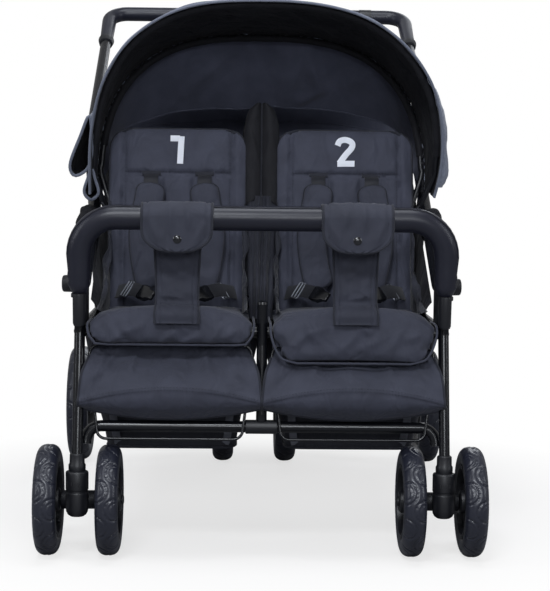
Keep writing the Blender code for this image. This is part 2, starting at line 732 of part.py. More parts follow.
# Rows of a footrest sling: height and Y in its middle and at its edges, half width, depth of its folds
SLING_ROWS = (
    (SLING_TOP, SLING_TOP, RAIL_FRONT_Y - 0.004, RAIL_FRONT_Y - 0.004, SLING_HALF - 0.023, 0.0),
    (RAIL_Z - 0.037, RAIL_Z - 0.037, RAIL_FRONT_Y - 0.020, RAIL_FRONT_Y - 0.020, SLING_HALF - 0.020, 0.0025),
    (RAIL_Z - 0.067, RAIL_Z - 0.067, RAIL_FRONT_Y - 0.050, RAIL_FRONT_Y - 0.049, SLING_HALF - 0.017, 0.0025),
    (RAIL_Z - 0.087, RAIL_Z - 0.110, RAIL_FRONT_Y - 0.072, RAIL_FRONT_Y - 0.0625, SLING_HALF - 0.001, 0.0),
    (RAIL_Z - 0.116, RAIL_Z - 0.117, RAIL_FRONT_Y - 0.075, RAIL_FRONT_Y - 0.0625, SLING_HALF - 0.0005, 0.0),
    (RAIL_Z - 0.141, RAIL_Z - 0.123, RAIL_FRONT_Y - 0.067, RAIL_FRONT_Y - 0.0615, SLING_HALF - 0.001, 0.0),
)


def seat_outline(front_tube_y, rear_y, s):
    """Side view of a seat pad, pan and front flap, at a place across it from -1 to 1."""
    front = front_tube_y - SEAT_FLAP_FRONT
    inset = abs(s) ** 20
    top = SEAT_LOW + SEAT_THICK - 0.009 * inset
    crown = SEAT_CROWN * (1 - s * s)
    face = front + 0.006 * inset
    low = SEAT_FLAP_LOW + 0.013 * abs(s) ** 6
    back = front + SEAT_FLAP_THICK
    middle = (front + rear_y) / 2
    return [
        (rear_y, SEAT_LOW),
        (rear_y, SEAT_LOW + SEAT_THICK * 0.55),
        (rear_y - 0.010, top),
        (middle, top + crown),
        (front + 0.020, top + crown * 0.5),
        (face + 0.005, top - 0.008),
        (face, top - 0.024),
        (face + 0.002, low + 0.008),
        (face + 0.007, low),
        (back - 0.003, low),
        (back, low + 0.006),
        (back, SEAT_LOW),
    ]


def seat_pads(cloth):
    stations = (-1, -0.98, -0.9, -0.5, 0, 0.5, 0.9, 0.98, 1)
    for row, tube_y, hinge_y in (("front", RAIL_FRONT_Y, FRONT_BACK_Y), ("rear", REAR_ROW_Y, RAIL_REAR_Y)):
        rear_y = hinge_y - BACK_THICK / 2 + 0.0015
        for side, sign in SIDES:
            rings = []
            for s in stations:
                x = sign * SEAT_X + s * SEAT_HALF_WIDTH
                rings.append([Vector((x, y, z)) for y, z in seat_outline(tube_y, rear_y, s)])
            solid(f"seat_pad_{row}_{side}", loft(rings), cloth)


def backrest_skin(centre_x, hinge_y):
    """A padded backrest with a crown, rounded corners and sewn channels, standing on its hinge line."""
    columns = (-1, -0.93, -0.84, -0.8, -0.76, -0.4, 0, 0.4, 0.76, 0.8, 0.84, 0.93, 1)
    rows = (0, 0.03, 0.1, 0.4, 0.72, 0.755, 0.79, 0.89, 0.955, 1)
    seam_column, seam_row = 0.8, 0.755
    up = Vector((0, math.sin(BACK_ANGLE), math.cos(BACK_ANGLE)))
    ahead = Vector((0, -math.cos(BACK_ANGLE), math.sin(BACK_ANGLE)))
    foot = Vector((centre_x, hinge_y, RAIL_Z)) + up * (CROSS_RAIL_R + GAP)
    corner = 0.036
    front, back = [], []
    for u in rows:
        height = u * BACK_LENGTH
        over = max(height - (BACK_LENGTH - corner), 0) / corner
        half = BACK_HALF_WIDTH - corner * (1 - math.sqrt(max(1 - over * over, 0)))
        front.append([])
        back.append([])
        for s in columns:
            full = (1 - abs(s) ** 6) * (1 - abs(2 * u - 1) ** 10)
            depth = BACK_THICK / 2 * (0.45 + 0.55 * full)
            sewn = abs(s) == seam_column or u == seam_row
            place = foot + Vector((s * half, 0, 0)) + up * height
            front[-1].append(place + ahead * (depth - (0.005 if sewn else 0)))
            back[-1].append(place - ahead * depth)
    return slab(front, back)


def backrests(cloth):
    for row, hinge_y in (("front", FRONT_BACK_Y), ("rear", RAIL_REAR_Y)):
        for side, sign in SIDES:
            backrest = solid(f"backrest_{row}_{side}", backrest_skin(sign * BACK_X, hinge_y), cloth)
            set_pivot(backrest, (sign * BACK_X, hinge_y, RAIL_Z))


def power_arch(half_width):
    """(X, share of the height) along a hood's arch, from one side over the top to the other."""
    arch = []
    for i in range(ARCH_STEPS + 1):
        angle = math.pi * (1 - i / ARCH_STEPS)
        across = math.copysign(abs(math.cos(angle)) ** (2 / ARCH_POWER), math.cos(angle))
        arch.append((half_width * across, max(math.sin(angle), 0) ** (2 / ARCH_POWER)))
    return arch


def arch_row(pivot, base, top, half_width, inset):
    """Points of one arch of a hood, drawn in by a distance all round."""
    base, top = Vector(base), Vector(top)
    reach = top - base
    reach -= reach.normalized() * inset
    row = []
    for x, share in power_arch(half_width - inset):
        y, z = pivot + base + reach * share
        row.append(Vector((x, y, z)))
    return row


def hoop_skin(pivot, top, half_width, end_x, gap):
    """A bent rod from its pivot on one side, over the hood, to its pivot on the other."""
    top = Vector(top)
    way = top.normalized()
    inset = HOOD_WALL + HOOP_R + gap
    path = arch_row(pivot, way * HOOP_START, top, half_width, inset)
    for sign in (-1, 1):
        ends = [Vector((sign * end_x, *(pivot + way * along))) for along in (0, 0.024)]
        path = ends + path if sign < 0 else path + ends[::-1]
    return tube(path, HOOP_R, THIN_SIDES)


def hood_rows(hoops, between, hem):
    """Base, top and half width of each arch of a hood, given relative to its pivot."""
    on_hoops = []
    for y, z, half_width in hoops:
        top = Vector((y, z))
        on_hoops.append((top.normalized() * HOOP_START, top, half_width))
    base, top, half_width = on_hoops[0]
    forward = Vector((-BRIM_REACH, -BRIM_DROP))
    brim = (base + forward, top + forward, half_width - 0.003)
    return [brim, on_hoops[0], *between, on_hoops[1], *hem]


def hood(name, pivot, hoops, between, hem, gap, cloth, plastic):
    pivot = Vector(pivot)
    rows = hood_rows(hoops, between, hem)
    outside = [arch_row(pivot, *row, 0) for row in rows]
    inside = [arch_row(pivot, *row, HOOD_WALL) for row in rows]
    solid(f"{name}_hood_fabric", slab(outside, inside), cloth)
    for place, end_x, (y, z, half_width) in zip(("front", "rear"), (HOOP_INNER_X, HOOP_OUTER_X), hoops):
        hoop = solid(f"{name}_hood_{place}_hoop", hoop_skin(pivot, (y, z), half_width, end_x, gap), plastic)
        set_pivot(hoop, (0, *pivot))


def hoods(cloth, plastic):
    pivot = (FRONT_HOOD_Y, on_push_tube(FRONT_HOOD_Y))
    arches = (FRONT_HOOD_HOOPS, FRONT_HOOD_BETWEEN, FRONT_HOOD_HEM)
    hood("front", pivot, *arches, FRONT_HOOP_GAP, cloth, plastic)
    pivot = (REAR_HOOD_Y, on_arm(REAR_HOOD_Y))
    arches = (REAR_HOOD_HOOPS, REAR_HOOD_BETWEEN, REAR_HOOD_HEM)
    hood("rear", pivot, *arches, REAR_HOOP_GAP, cloth, plastic)


def sling_skin(centre_x):
    """The calf rest and front lip of a footrest, hung from the front cross rail."""
    columns = [i / 8 for i in range(-8, 9)]
    front, back = [], []
    for middle_z, edge_z, middle_y, edge_y, half, fold in SLING_ROWS:
        front.append([])
        back.append([])
        for s in columns:
            share = s * s
            y = middle_y + (edge_y - middle_y) * share - fold * math.cos(4 * math.pi * s)
            z = middle_z + (edge_z - middle_z) * share
            front[-1].append(Vector((centre_x + s * half, y, z)))
            back[-1].append(Vector((centre_x + s * half, y + SLING_WALL, z - 0.0001)))
    return slab(front, back)


def footrests(cloth, steel):
    """A cloth sling for each front seat and the wire loop that holds it out."""
    for side, sign in SIDES:
        solid(f"footrest_sling_{side}", sling_skin(sign * SEAT_X), cloth)
        near = FRONT_TUBE_R + WIRE_R + 0.0006
        far = FRAME_X - FRONT_TUBE_R - WIRE_R - 0.0003
        top_y, top_z = RAIL_FRONT_Y - 0.0195, SEAT_FLAP_LOW + 0.003
        low_y, low_z = top_y - WIRE_REACH, WIRE_LOW
        middle = (sign * SEAT_X, top_y, top_z)
        corners = [middle, (sign * far, top_y, top_z), (sign * (far - WIRE_DRAW), low_y, low_z)]
        corners += [(sign * (near + WIRE_DRAW), low_y, low_z), (sign * near, top_y, top_z), middle]
        path = rounded_path(corners, WIRE_BEND, 3)[:-1]
        solid(f"footrest_wire_{side}", tube(path, WIRE_R, THIN_SIDES, closed=True), steel)


def rounded_rectangle(low, high, z, radius):
    """A level ring of points with rounded corners."""
    ring = []
    centres = ((high[0] - radius, high[1] - radius), (low[0] + radius, high[1] - radius))
    centres += ((low[0] + radius, low[1] + radius), (high[0] - radius, low[1] + radius))
    for quarter, (x, y) in enumerate(centres):
        for i in range(4):
            angle = math.pi / 2 * (quarter + i / 3)
            ring.append(Vector((x + radius * math.cos(angle), y + radius * math.sin(angle), z)))
    return ring


def baskets(cloth):
    """Open cloth tubs that hang from the seat rails."""
    rim_z = RAIL_Z - TUBE_R - 0.0002
    for side, sign in SIDES:
        levels = ((0.042, FRAME_X - BASKET_TAPER, 0.006, BASKET_LOW),)
        levels += ((0.034, FRAME_X - BASKET_TAPER * 0.75, 0.003, BASKET_KNEE), (0.0025, FRAME_X, 0.0, rim_z))
        rings = []
        for inset in (0, BASKET_WALL):
            level_rings = []
            for near, far, draw, z in levels:
                low_x, high_x = sorted((sign * near, sign * far))
                low = (low_x + inset, BASKET_FRONT_Y + draw + inset)
                high = (high_x - inset, BASKET_REAR_Y - draw * 3 - inset)
                lift = inset if z == BASKET_LOW else 0
                level_rings.append(rounded_rectangle(low, high, z + lift, BASKET_CORNER - inset))
            rings += level_rings[::-1] if inset else level_rings
        solid(f"basket_{side}", loft(rings), cloth)


def main():
    clear_scene()
    paint = finish("black_painted_tube", (0.012, 0.012, 0.014), 0.35)
    plastic = finish("moulded_black_plastic", (0.014, 0.014, 0.016), 0.45)
    rubber = finish("black_tyre_foam", (0.010, 0.010, 0.011), 0.30)
    foam = finish("black_grip_foam", (0.013, 0.013, 0.014), 0.70)
    steel = finish("bright_steel", (0.45, 0.45, 0.47), 0.25, 1.0)
    cloth = finish("charcoal_cloth", (0.028, 0.030, 0.040), 0.85)
    front_legs(paint)
    cross_tube(paint)
    caster_sockets(plastic)
    for side, sign in SIDES:
        caster_yoke(side, sign, plastic)
    front_wheels(rubber)
    rear_wheels(rubber, plastic)
    rear_axle(steel)
    brake_pedals(plastic)
    side_joints(plastic)
    push_tubes(paint)
    hinge_housings(plastic)
    rear_arms(paint)
    seat_frame(paint)
    handle(paint, foam)
    rear_legs(paint)
    bumper(paint, foam)
    crotch_pads(cloth)
    seat_pads(cloth)
    backrests(cloth)
    hoods(cloth, plastic)
    footrests(cloth, steel)
    baskets(cloth)


main()
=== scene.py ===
"""Visual model of a four-seat stroller round its packed solids, laid out as an add-on and run as a script.

The origin lies on the floor under the middle of the stroller. +X runs across it, -Y is the front and +Z is
up. Left and right are as seen from the front. All sizes are in metres.
"""

import json
import math

import bmesh
import bpy
import numpy as np
from bpy.props import FloatProperty, FloatVectorProperty, IntProperty, PointerProperty
from mathutils import Euler, Matrix, Vector, noise


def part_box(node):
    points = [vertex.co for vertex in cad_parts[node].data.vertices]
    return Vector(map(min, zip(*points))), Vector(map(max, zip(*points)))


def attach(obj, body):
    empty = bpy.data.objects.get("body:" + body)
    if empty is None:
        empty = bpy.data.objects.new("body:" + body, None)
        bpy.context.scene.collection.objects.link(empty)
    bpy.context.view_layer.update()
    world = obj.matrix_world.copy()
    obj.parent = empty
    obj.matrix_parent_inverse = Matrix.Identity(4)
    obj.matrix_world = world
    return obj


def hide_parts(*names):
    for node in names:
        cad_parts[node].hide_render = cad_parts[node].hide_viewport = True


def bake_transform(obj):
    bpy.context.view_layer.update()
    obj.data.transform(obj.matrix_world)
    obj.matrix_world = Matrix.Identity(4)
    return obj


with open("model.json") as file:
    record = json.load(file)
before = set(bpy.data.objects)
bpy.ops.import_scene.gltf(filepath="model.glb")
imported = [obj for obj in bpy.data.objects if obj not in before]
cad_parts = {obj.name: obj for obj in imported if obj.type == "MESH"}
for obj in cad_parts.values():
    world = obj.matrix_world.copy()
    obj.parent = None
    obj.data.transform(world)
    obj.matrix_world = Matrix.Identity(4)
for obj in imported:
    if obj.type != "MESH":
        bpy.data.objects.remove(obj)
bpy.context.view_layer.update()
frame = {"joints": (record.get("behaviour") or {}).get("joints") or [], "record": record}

bl_info = {
    "name": "Four-seat stroller",
    "version": (1, 0, 0),
    "blender": (4, 5, 0),
    "location": "3D View > Sidebar > Stroller",
    "description": "Builds a detailed four-seat stroller round its packed solids",
    "category": "Object",
}

GAP = 0.0003
# Thickness of a single sheet of cloth
SHEET = 0.0014
SIDES = (("left", -1), ("right", 1))
PLACES = ("outer", "inner")
ROWS = ("front", "rear")


def linear(code):
    """Linear RGBA of an sRGB hex colour."""
    parts = [int(code[i : i + 2], 16) / 255 for i in (1, 3, 5)]
    return tuple(c / 12.92 if c <= 0.04045 else ((c + 0.055) / 1.055) ** 2.4 for c in parts) + (1.0,)


def middle_of(node):
    """Centre of a solid's box."""
    low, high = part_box(node)
    return (low + high) / 2


# Places that come from the packed solids
FRAME_X = middle_of("front_leg_right").x
FOLD_X = middle_of("rear_leg_right").x
FRONT_AXLE = middle_of("front_wheel_right_outer")
FRONT_WHEEL_R = (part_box("front_wheel_right_outer")[1].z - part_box("front_wheel_right_outer")[0].z) / 2
FRONT_WHEEL_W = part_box("front_wheel_right_outer")[1].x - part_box("front_wheel_right_outer")[0].x
REAR_AXLE = middle_of("rear_tyre_right_outer")
REAR_WHEEL_R = (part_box("rear_tyre_right_outer")[1].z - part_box("rear_tyre_right_outer")[0].z) / 2
REAR_WHEEL_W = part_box("rear_tyre_right_outer")[1].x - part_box("rear_tyre_right_outer")[0].x
BODY_OF = {node: body for body, nodes in frame["record"]["behaviour"]["bodies"].items() for node in nodes}
JOINTS = {joint["name"]: joint for joint in frame["joints"]}


def pivot_of(joint):
    """A joint's place, in metres."""
    return Vector(JOINTS[joint]["pos_m"])


HINGE = pivot_of("handle_fold")
LEG_HINGE = pivot_of("rear_leg_fold")
FRONT_HOOD_PIVOT = pivot_of("front_hood_fold")
REAR_HOOD_PIVOT = pivot_of("rear_hood_fold")
FRONT_BACK_HINGE = pivot_of("backrest_front_right_recline")
REAR_BACK_HINGE = pivot_of("backrest_rear_right_recline")
CASTER_Y = pivot_of("caster_right_swivel").y
RAIL_Z = FRONT_BACK_HINGE.z


def length(name, description, default, low=0.0):
    """A size in metres that a user can change."""
    return FloatProperty(name=name, description=description, default=default, min=low, unit="LENGTH")


def colour(name, description, code):
    """A colour that a user can change."""
    rgb = linear(code)[:3]
    return FloatVectorProperty(
        name=name, description=description, default=rgb, subtype="COLOR", size=3, min=0.0, max=1.0
    )


class StrollerFrameSizes(bpy.types.PropertyGroup):
    """Sizes of the tubes, grips and casters."""

    tube: length("Main tube", "Radius of the rails, push tubes, arms and rear legs", 0.011)
    front_tube: length("Front leg tube", "Radius of the front legs", 0.009)
    cross_tube: length("Cross tube", "Radius of the tube between the front legs", 0.0095)
    cross_rail: length("Cross rail", "Radius of the seat frame's cross tubes", 0.010)
    handle_grip: length("Handle grip", "Radius of the handle's foam sleeve", 0.0155)
    bumper_grip: length("Bumper grip", "Radius of the bumper's foam sleeve", 0.0205)
    caster: length("Caster housing", "Radius of the swivelling housing", 0.0188)
    wire: length("Footrest wire", "Radius of the steel wire of the footrests", 0.0025)


class StrollerWheelSizes(bpy.types.PropertyGroup):
    """Sizes of the wheels' tread and spokes."""

    scallops: IntProperty(name="Scallops", description="Recesses on a tyre's shoulder", default=9, min=3)
    scallop_depth: length("Scallop depth", "Depth of a recess in the tyre's shoulder", 0.0024)
    spokes: IntProperty(name="Spokes", description="Spokes of a wheel", default=5, min=3)
    rear_rim: length("Rear rim", "Radius where the rear tyre sits on its rim", 0.088)


class StrollerSeatSizes(bpy.types.PropertyGroup):
    """Sizes of the cushions, straps and seams."""

    seat_x: length("Seat spacing", "Distance of a seat's middle from the stroller's middle", 0.151)
    seat_half: length("Seat half width", "Half the width of a seat pad", 0.1335)
    back_x: length("Backrest spacing", "Distance of a backrest's middle from the stroller's middle", 0.149)
    back_half: length("Backrest half width", "Half the width of a backrest", 0.121)
    back_length: length("Backrest length", "Height of a backrest along its slope", 0.335)
    back_thick: length("Backrest thickness", "Thickness of a backrest at its crown", 0.036)
    piping: length("Piping", "Radius of the bound edges", 0.0032)
    webbing: length("Webbing", "Width of the harness webbing", 0.025)
    numeral: length("Numeral height", "Height of the printed seat numbers", 0.052)


class StrollerHoodSizes(bpy.types.PropertyGroup):
    """Sizes of the hoods' fabric and hoops."""

    wall: length("Fabric", "Thickness of a hood's fabric with its lining", 0.003)
    binding: length("Binding", "Width of the pale binding on a hood's front edge", 0.0065)
    hoop: length("Hoop", "Radius of a hood's hoops", 0.005)
    ruffle: length("Ruffle", "Height of the gathers along a hood's seams", 0.0035)


class StrollerColours(bpy.types.PropertyGroup):
    """Colours of the stroller."""

    tube: colour("Tube paint", "Powder coat on the steel tubes", "#0E0F13")
    plastic: colour("Moulded plastic", "Housings, yokes and rims", "#111217")
    tyre: colour("Tyre", "Closed-cell tyre foam", "#22242F")
    foam: colour("Grip foam", "Foam sleeves of the bumper and the handle", "#1F202A")
    cloth: colour("Seat cloth", "Woven polyester of the seats", "#393B47")
    lining: colour("Hood lining", "Black cloth inside the hoods", "#15151A")
    heather: colour("Hood cloth", "Pale heather cloth outside the hoods", "#868C9C")
    webbing: colour("Webbing", "Harness straps", "#1B1C23")
    print: colour("Numerals", "Print on the backrests", "#E9ECF4")


GROUPS = {
    "stroller_frame": StrollerFrameSizes,
    "stroller_wheels": StrollerWheelSizes,
    "stroller_seats": StrollerSeatSizes,
    "stroller_hoods": StrollerHoodSizes,
    "stroller_colours": StrollerColours,
}


def setting(group):
    """One of the scene's groups of settings."""
    return getattr(bpy.context.scene, group)


# Nodes and materials


def add_node(tree, kind, inputs=None, **settings):
    """Add a node with its settings; an input takes a value or another node's output."""
    node = tree.nodes.new(kind)
    for name, value in settings.items():
        setattr(node, name, value)
    for name, value in (inputs or {}).items():
        if isinstance(value, bpy.types.NodeSocket):
            tree.links.new(value, node.inputs[name])
        else:
            node.inputs[name].default_value = value
    return node


def blank_material(name, roughness, metallic=0.0, sheen=0.0, coat=0.0, specular=0.5):
    """A material with only its Principled shader, and that shader's tree."""
    made = bpy.data.materials.new(name)
    made.use_nodes = True
    tree = made.node_tree
    shader = tree.nodes["Principled BSDF"]
    shader.inputs["Roughness"].default_value = roughness
    shader.inputs["Metallic"].default_value = metallic
    shader.inputs["Sheen Weight"].default_value = sheen
    shader.inputs["Sheen Roughness"].default_value = 0.45
    shader.inputs["Coat Weight"].default_value = coat
    shader.inputs["Coat Roughness"].default_value = 0.2
    shader.inputs["Specular IOR Level"].default_value = specular
    return made, tree, shader


def mottled(tree, shader, rgb, scale_mm, spread, coords):
    """Colour that varies a little from place to place."""
    blotch = add_node(tree, "ShaderNodeTexNoise", {"Vector": coords, "Scale": 1000 / scale_mm, "Detail": 3.0})
    dark = tuple(c * (1 - spread) for c in rgb) + (1.0,)
    light = tuple(min(c * (1 + spread), 1.0) for c in rgb) + (1.0,)
    range_in = {"Value": blotch.outputs["Fac"], "From Min": 0.34, "From Max": 0.66}
    share = add_node(tree, "ShaderNodeMapRange", range_in)
    ramp = add_node(tree, "ShaderNodeMix", data_type="RGBA")
    tree.links.new(share.outputs["Result"], ramp.inputs["Factor"])
    ramp.inputs["A"].default_value = dark
    ramp.inputs["B"].default_value = light
    tree.links.new(ramp.outputs["Result"], shader.inputs["Base Color"])
    return ramp


def relief(tree, shader, height, distance_mm, strength=1.0, under=None):
    """Bump from a height, on top of another bump if one is given."""
    height_in = {"Height": height, "Strength": strength, "Distance": distance_mm / 1000}
    bump = add_node(tree, "ShaderNodeBump", height_in)
    if under:
        tree.links.new(under.outputs["Normal"], bump.inputs["Normal"])
    tree.links.new(bump.outputs["Normal"], shader.inputs["Normal"])
    return bump


def object_coords(tree):
    return add_node(tree, "ShaderNodeTexCoord").outputs["Object"]


def wave_scale(pitch_mm):
    """Scale of a wave texture whose bands are this far apart."""
    return 1000 / pitch_mm / math.tau * 2


def weave_height(tree, coords, pitch_mm):
    """Threads that cross at right angles, as the product of waves across the three axes."""
    waves = []
    for direction in ("X", "Y", "Z"):
        wave_in = {"Vector": coords, "Scale": wave_scale(pitch_mm), "Distortion": 0.6, "Detail": 1.0}
        wave = add_node(tree, "ShaderNodeTexWave", wave_in, bands_direction=direction)
        waves.append(wave.outputs["Fac"])
    both = add_node(tree, "ShaderNodeMath", {0: waves[0], 1: waves[1]}, operation="ADD")
    total = add_node(tree, "ShaderNodeMath", {0: both.outputs[0], 1: waves[2]}, operation="ADD")
    return total.outputs[0]


def cloth_material(name, rgb, spread=0.10, pitch_mm=1.1, crease_mm=3.2, sheen=0.12, roughness=0.74):
    """Woven polyester: matt, a soft bright edge, fine threads and creases as broad as a finger."""
    made, tree, shader = blank_material(name, roughness, sheen=sheen, specular=0.28)
    coords = object_coords(tree)
    mottled(tree, shader, rgb, 38, spread, coords)
    # The real threads are 0.3 mm apart, too fine to show, so they are drawn three times as coarse.
    threads = relief(tree, shader, weave_height(tree, coords, pitch_mm), 0.12, 0.5)
    turn = {"Vector": coords, "Rotation": (0.0, 0.5, 0.0), "Scale": (1.0, 1.0, 0.45)}
    slanted = add_node(tree, "ShaderNodeMapping", turn)
    waves = {"Vector": slanted.outputs[0], "Scale": 30.0, "Detail": 2.5, "Distortion": 0.9}
    creases = add_node(tree, "ShaderNodeTexNoise", waves)
    relief(tree, shader, creases.outputs["Fac"], crease_mm * 2.2, 0.9, threads)
    return made


def heather_material(name, rgb):
    """Cloth of pale and dark threads twisted together, so it looks flecked."""
    made, tree, shader = blank_material(name, 0.88, sheen=0.3, specular=0.25)
    coords = object_coords(tree)
    stretched = add_node(tree, "ShaderNodeMapping", {"Vector": coords, "Scale": (1.0, 1.0, 4.0)})
    flecks_in = {"Vector": stretched.outputs[0], "Scale": 420.0, "Detail": 2.0}
    flecks = add_node(tree, "ShaderNodeTexNoise", flecks_in)
    steps = add_node(tree, "ShaderNodeValToRGB", {"Fac": flecks.outputs["Fac"]})
    steps.color_ramp.elements[0].position = 0.36
    steps.color_ramp.elements[0].color = tuple(c * 0.55 for c in rgb) + (1.0,)
    steps.color_ramp.elements[1].position = 0.62
    steps.color_ramp.elements[1].color = tuple(min(c * 1.25, 1.0) for c in rgb) + (1.0,)
    tree.links.new(steps.outputs["Color"], shader.inputs["Base Color"])
    threads = relief(tree, shader, weave_height(tree, coords, 1.2), 0.12, 0.5)
    creases = add_node(tree, "ShaderNodeTexNoise", {"Vector": coords, "Scale": 22.0, "Detail": 3.0})
    relief(tree, shader, creases.outputs["Fac"], 1.2, 0.5, threads)
    return made


def webbing_material(name, rgb):
    """Polyester webbing with its ribs straight across the strap."""
    made, tree, shader = blank_material(name, 0.62, sheen=0.15, specular=0.35)
    coords = object_coords(tree)
    mottled(tree, shader, rgb, 12, 0.12, coords)
    ribs_in = {"Vector": coords, "Scale": wave_scale(2.2)}
    ribs = add_node(tree, "ShaderNodeTexWave", ribs_in, bands_direction="DIAGONAL")
    relief(tree, shader, ribs.outputs["Fac"], 0.25, 0.6)
    return made


def grained_material(
    name, rgb, roughness, grain_mm, depth_mm, coat=0.0, spread=0.08, specular=0.5, metallic=0.0
):
    """A hard or foamed surface with the grain of its mould or coat, a little uneven in gloss."""
    made, tree, shader = blank_material(name, roughness, coat=coat, specular=specular, metallic=metallic)
    coords = object_coords(tree)
    mottled(tree, shader, rgb, 55, spread * 0.6, coords)
    grain = add_node(tree, "ShaderNodeTexNoise", {"Vector": coords, "Scale": 1000 / grain_mm, "Detail": 3.0})
    relief(tree, shader, grain.outputs["Fac"], depth_mm, 0.5)
    wear = add_node(tree, "ShaderNodeTexNoise", {"Vector": coords, "Scale": 34.0, "Detail": 3.0})
    smoothest, roughest = roughness * 0.82, min(roughness * 1.2, 1.0)
    gloss_in = {"Value": wear.outputs["Fac"], "To Min": smoothest, "To Max": roughest}
    gloss = add_node(tree, "ShaderNodeMapRange", gloss_in)
    tree.links.new(gloss.outputs["Result"], shader.inputs["Roughness"])
    return made


MATERIALS = {}


def shaded(rgb, share):
    """A colour made darker or paler by one factor."""
    return tuple(part * share for part in rgb)


def make_materials():
    """Every finish of the stroller, by a short name."""
    c = setting("stroller_colours")
    zinc, nickel, acetal = (linear(code)[:3] for code in ("#9FA3AA", "#8E929B", "#101115"))
    pale_tape, grey_tape = (linear(code)[:3] for code in ("#6F7482", "#5E6068"))
    tape = {"crease_mm": 0.3, "pitch_mm": 0.8}
    MATERIALS.update(
        tube=grained_material("Powder-coated steel", c.tube, 0.22, 0.9, 0.015, specular=0.42),
        plastic=grained_material("Moulded nylon", c.plastic, 0.46, 0.7, 0.05),
        hoop=grained_material("Smooth polypropylene", c.plastic, 0.4, 1.5, 0.02),
        tyre=grained_material("Moulded tyre foam", c.tyre, 0.34, 1.4, 0.01, coat=0.12),
        foam=grained_material("Foam sleeve", c.foam, 0.36, 0.8, 0.05, specular=0.36),
        steel=grained_material("Zinc-plated steel", zinc, 0.28, 0.6, 0.02, metallic=1.0),
        cloth=cloth_material("Woven polyester", c.cloth),
        binding=cloth_material("Polyester binding tape", shaded(c.cloth, 0.45), **tape),
        # The backrests take the seat cloth made paler, as painted light from the lamps in front.
        rest=cloth_material("Backrest polyester with painted light", shaded(c.cloth, 1.2)),
        # The crotch pads take the seat cloth made darker, as painted shade on their upright faces.
        pad=cloth_material("Quilted polyester with painted shade", shaded(c.cloth, 0.8), crease_mm=1.6),
        # The gussets and the curtain between the seats take the seat cloth at half brightness, as painted shade
        # between the seats.
        inner=cloth_material("Seat wall polyester with painted shade", shaded(c.cloth, 0.5), crease_mm=2.4),
        basket=cloth_material("Coated polyester", shaded(c.cloth, 0.35), sheen=0.1, roughness=0.6),
        lining=cloth_material("Black polyester lining", c.lining, sheen=0.03, roughness=0.75),
        # The inside of the hood panels takes the seat cloth at twice its brightness, as painted light under the
        # hood.
        back=cloth_material("Hood panel polyester with painted light", shaded(c.cloth, 2.1), crease_mm=1.2),
        heather=heather_material("Heather polyester", c.heather),
        trim=cloth_material("Pale binding tape", pale_tape, **tape),
        webbing=webbing_material("Ribbed webbing", c.webbing),
        strap=webbing_material("Grey basket tape", grey_tape),
        print=grained_material("Flat white print", c.print, 0.6, 0.9, 0.03, spread=0.03),
        buckle=grained_material("Moulded acetal", acetal, 0.2, 1.2, 0.02, coat=0.3),
        chrome=grained_material("Nickel-plated buckle steel", nickel, 0.38, 0.8, 0.02, metallic=1.0),
    )


# Shapes


def loft(rings, closed=False, capped=True):
    """A skin over rings of equally many points, with flat ends unless it closes on itself."""
    count = len(rings[0])
    points = [point for ring in rings for point in ring]
    faces = []
    for i in range(len(rings) if closed else len(rings) - 1):
        j = (i + 1) % len(rings)
        for k in range(count):
            m = (k + 1) % count
            faces.append((i * count + k, i * count + m, j * count + m, j * count + k))
    if capped and not closed:
        faces.append(tuple(reversed(range(count))))
        faces.append(tuple((len(rings) - 1) * count + k for k in range(count)))
    return points, faces


def rounded_path(corners, radius, steps=8):
    """A route through corners, each corner but the two ends turned into an arc."""
    corners = [Vector(corner) for corner in corners]
    path = [corners[0]]
    for before, corner, after in zip(corners, corners[1:], corners[2:]):
        back = (before - corner).normalized()
        ahead = (after - corner).normalized()
        half = back.angle(ahead) / 2
        centre = corner + (back + ahead).normalized() * radius / math.sin(half)
        start = (corner + back * radius / math.tan(half) - centre).normalized()
        end = (corner + ahead * radius / math.tan(half) - centre).normalized()
        path += [centre + start.slerp(end, i / steps) * radius for i in range(steps + 1)]
    return path + [corners[-1]]


def smooth_route(knots, steps=6, closed=False):
    """Points on a smooth curve through knots."""
    knots = [Vector(knot) for knot in knots]
    count = len(knots)
    route = []
    for i in range(count if closed else count - 1):
        if closed:
            a, b, c, d = (knots[(i + k) % count] for k in (-1, 0, 1, 2))
        else:
            a, b, c, d = (knots[min(max(i + k, 0), count - 1)] for k in (-1, 0, 1, 2))
        slope, bend, twist = (c - a) / 2, (a * 2 - b * 5 + c * 4 - d) / 2, (b * 3 - a - c * 3 + d) / 2
        for k in range(steps):
            t = k / steps
            route.append(b + slope * t + bend * t * t + twist * t**3)
    return route if closed else route + [knots[-1]]


def flat_route(knots, steps):
    """Pairs of numbers on a smooth curve through pairs."""
    return [(point.x, point.y) for point in smooth_route([(a, b, 0) for a, b in knots], steps)]


def frames_along(path, closed=False, across=None):
    """(point, across, other) at each point of a path, turned as little as possible between points."""
    count = len(path)
    found = []
    for i, point in enumerate(path):
        before = path[i - 1] if i or closed else point
        after = path[(i + 1) % count] if i < count - 1 or closed else point
        along = (after - before).normalized()
        if across is None:
            across = along.orthogonal().normalized()
        across = (across - along * across.dot(along)).normalized()
        found.append((point, across, along.cross(across)))
    return found


def circle(centre, across, other, radius, sides):
    """Points round a centre, in the plane of two directions."""
    angles = [math.tau * k / sides for k in range(sides)]
    return [centre + (across * math.cos(a) + other * math.sin(a)) * radius for a in angles]


def tube(path, radius, sides=18, closed=False):
    """A round bar along a path; its radius is one number or one for each point."""
    path = [Vector(point) for point in path]
    radii = radius if isinstance(radius, list) else [radius] * len(path)
    return loft([circle(*place, r, sides) for place, r in zip(frames_along(path, closed), radii)], closed)


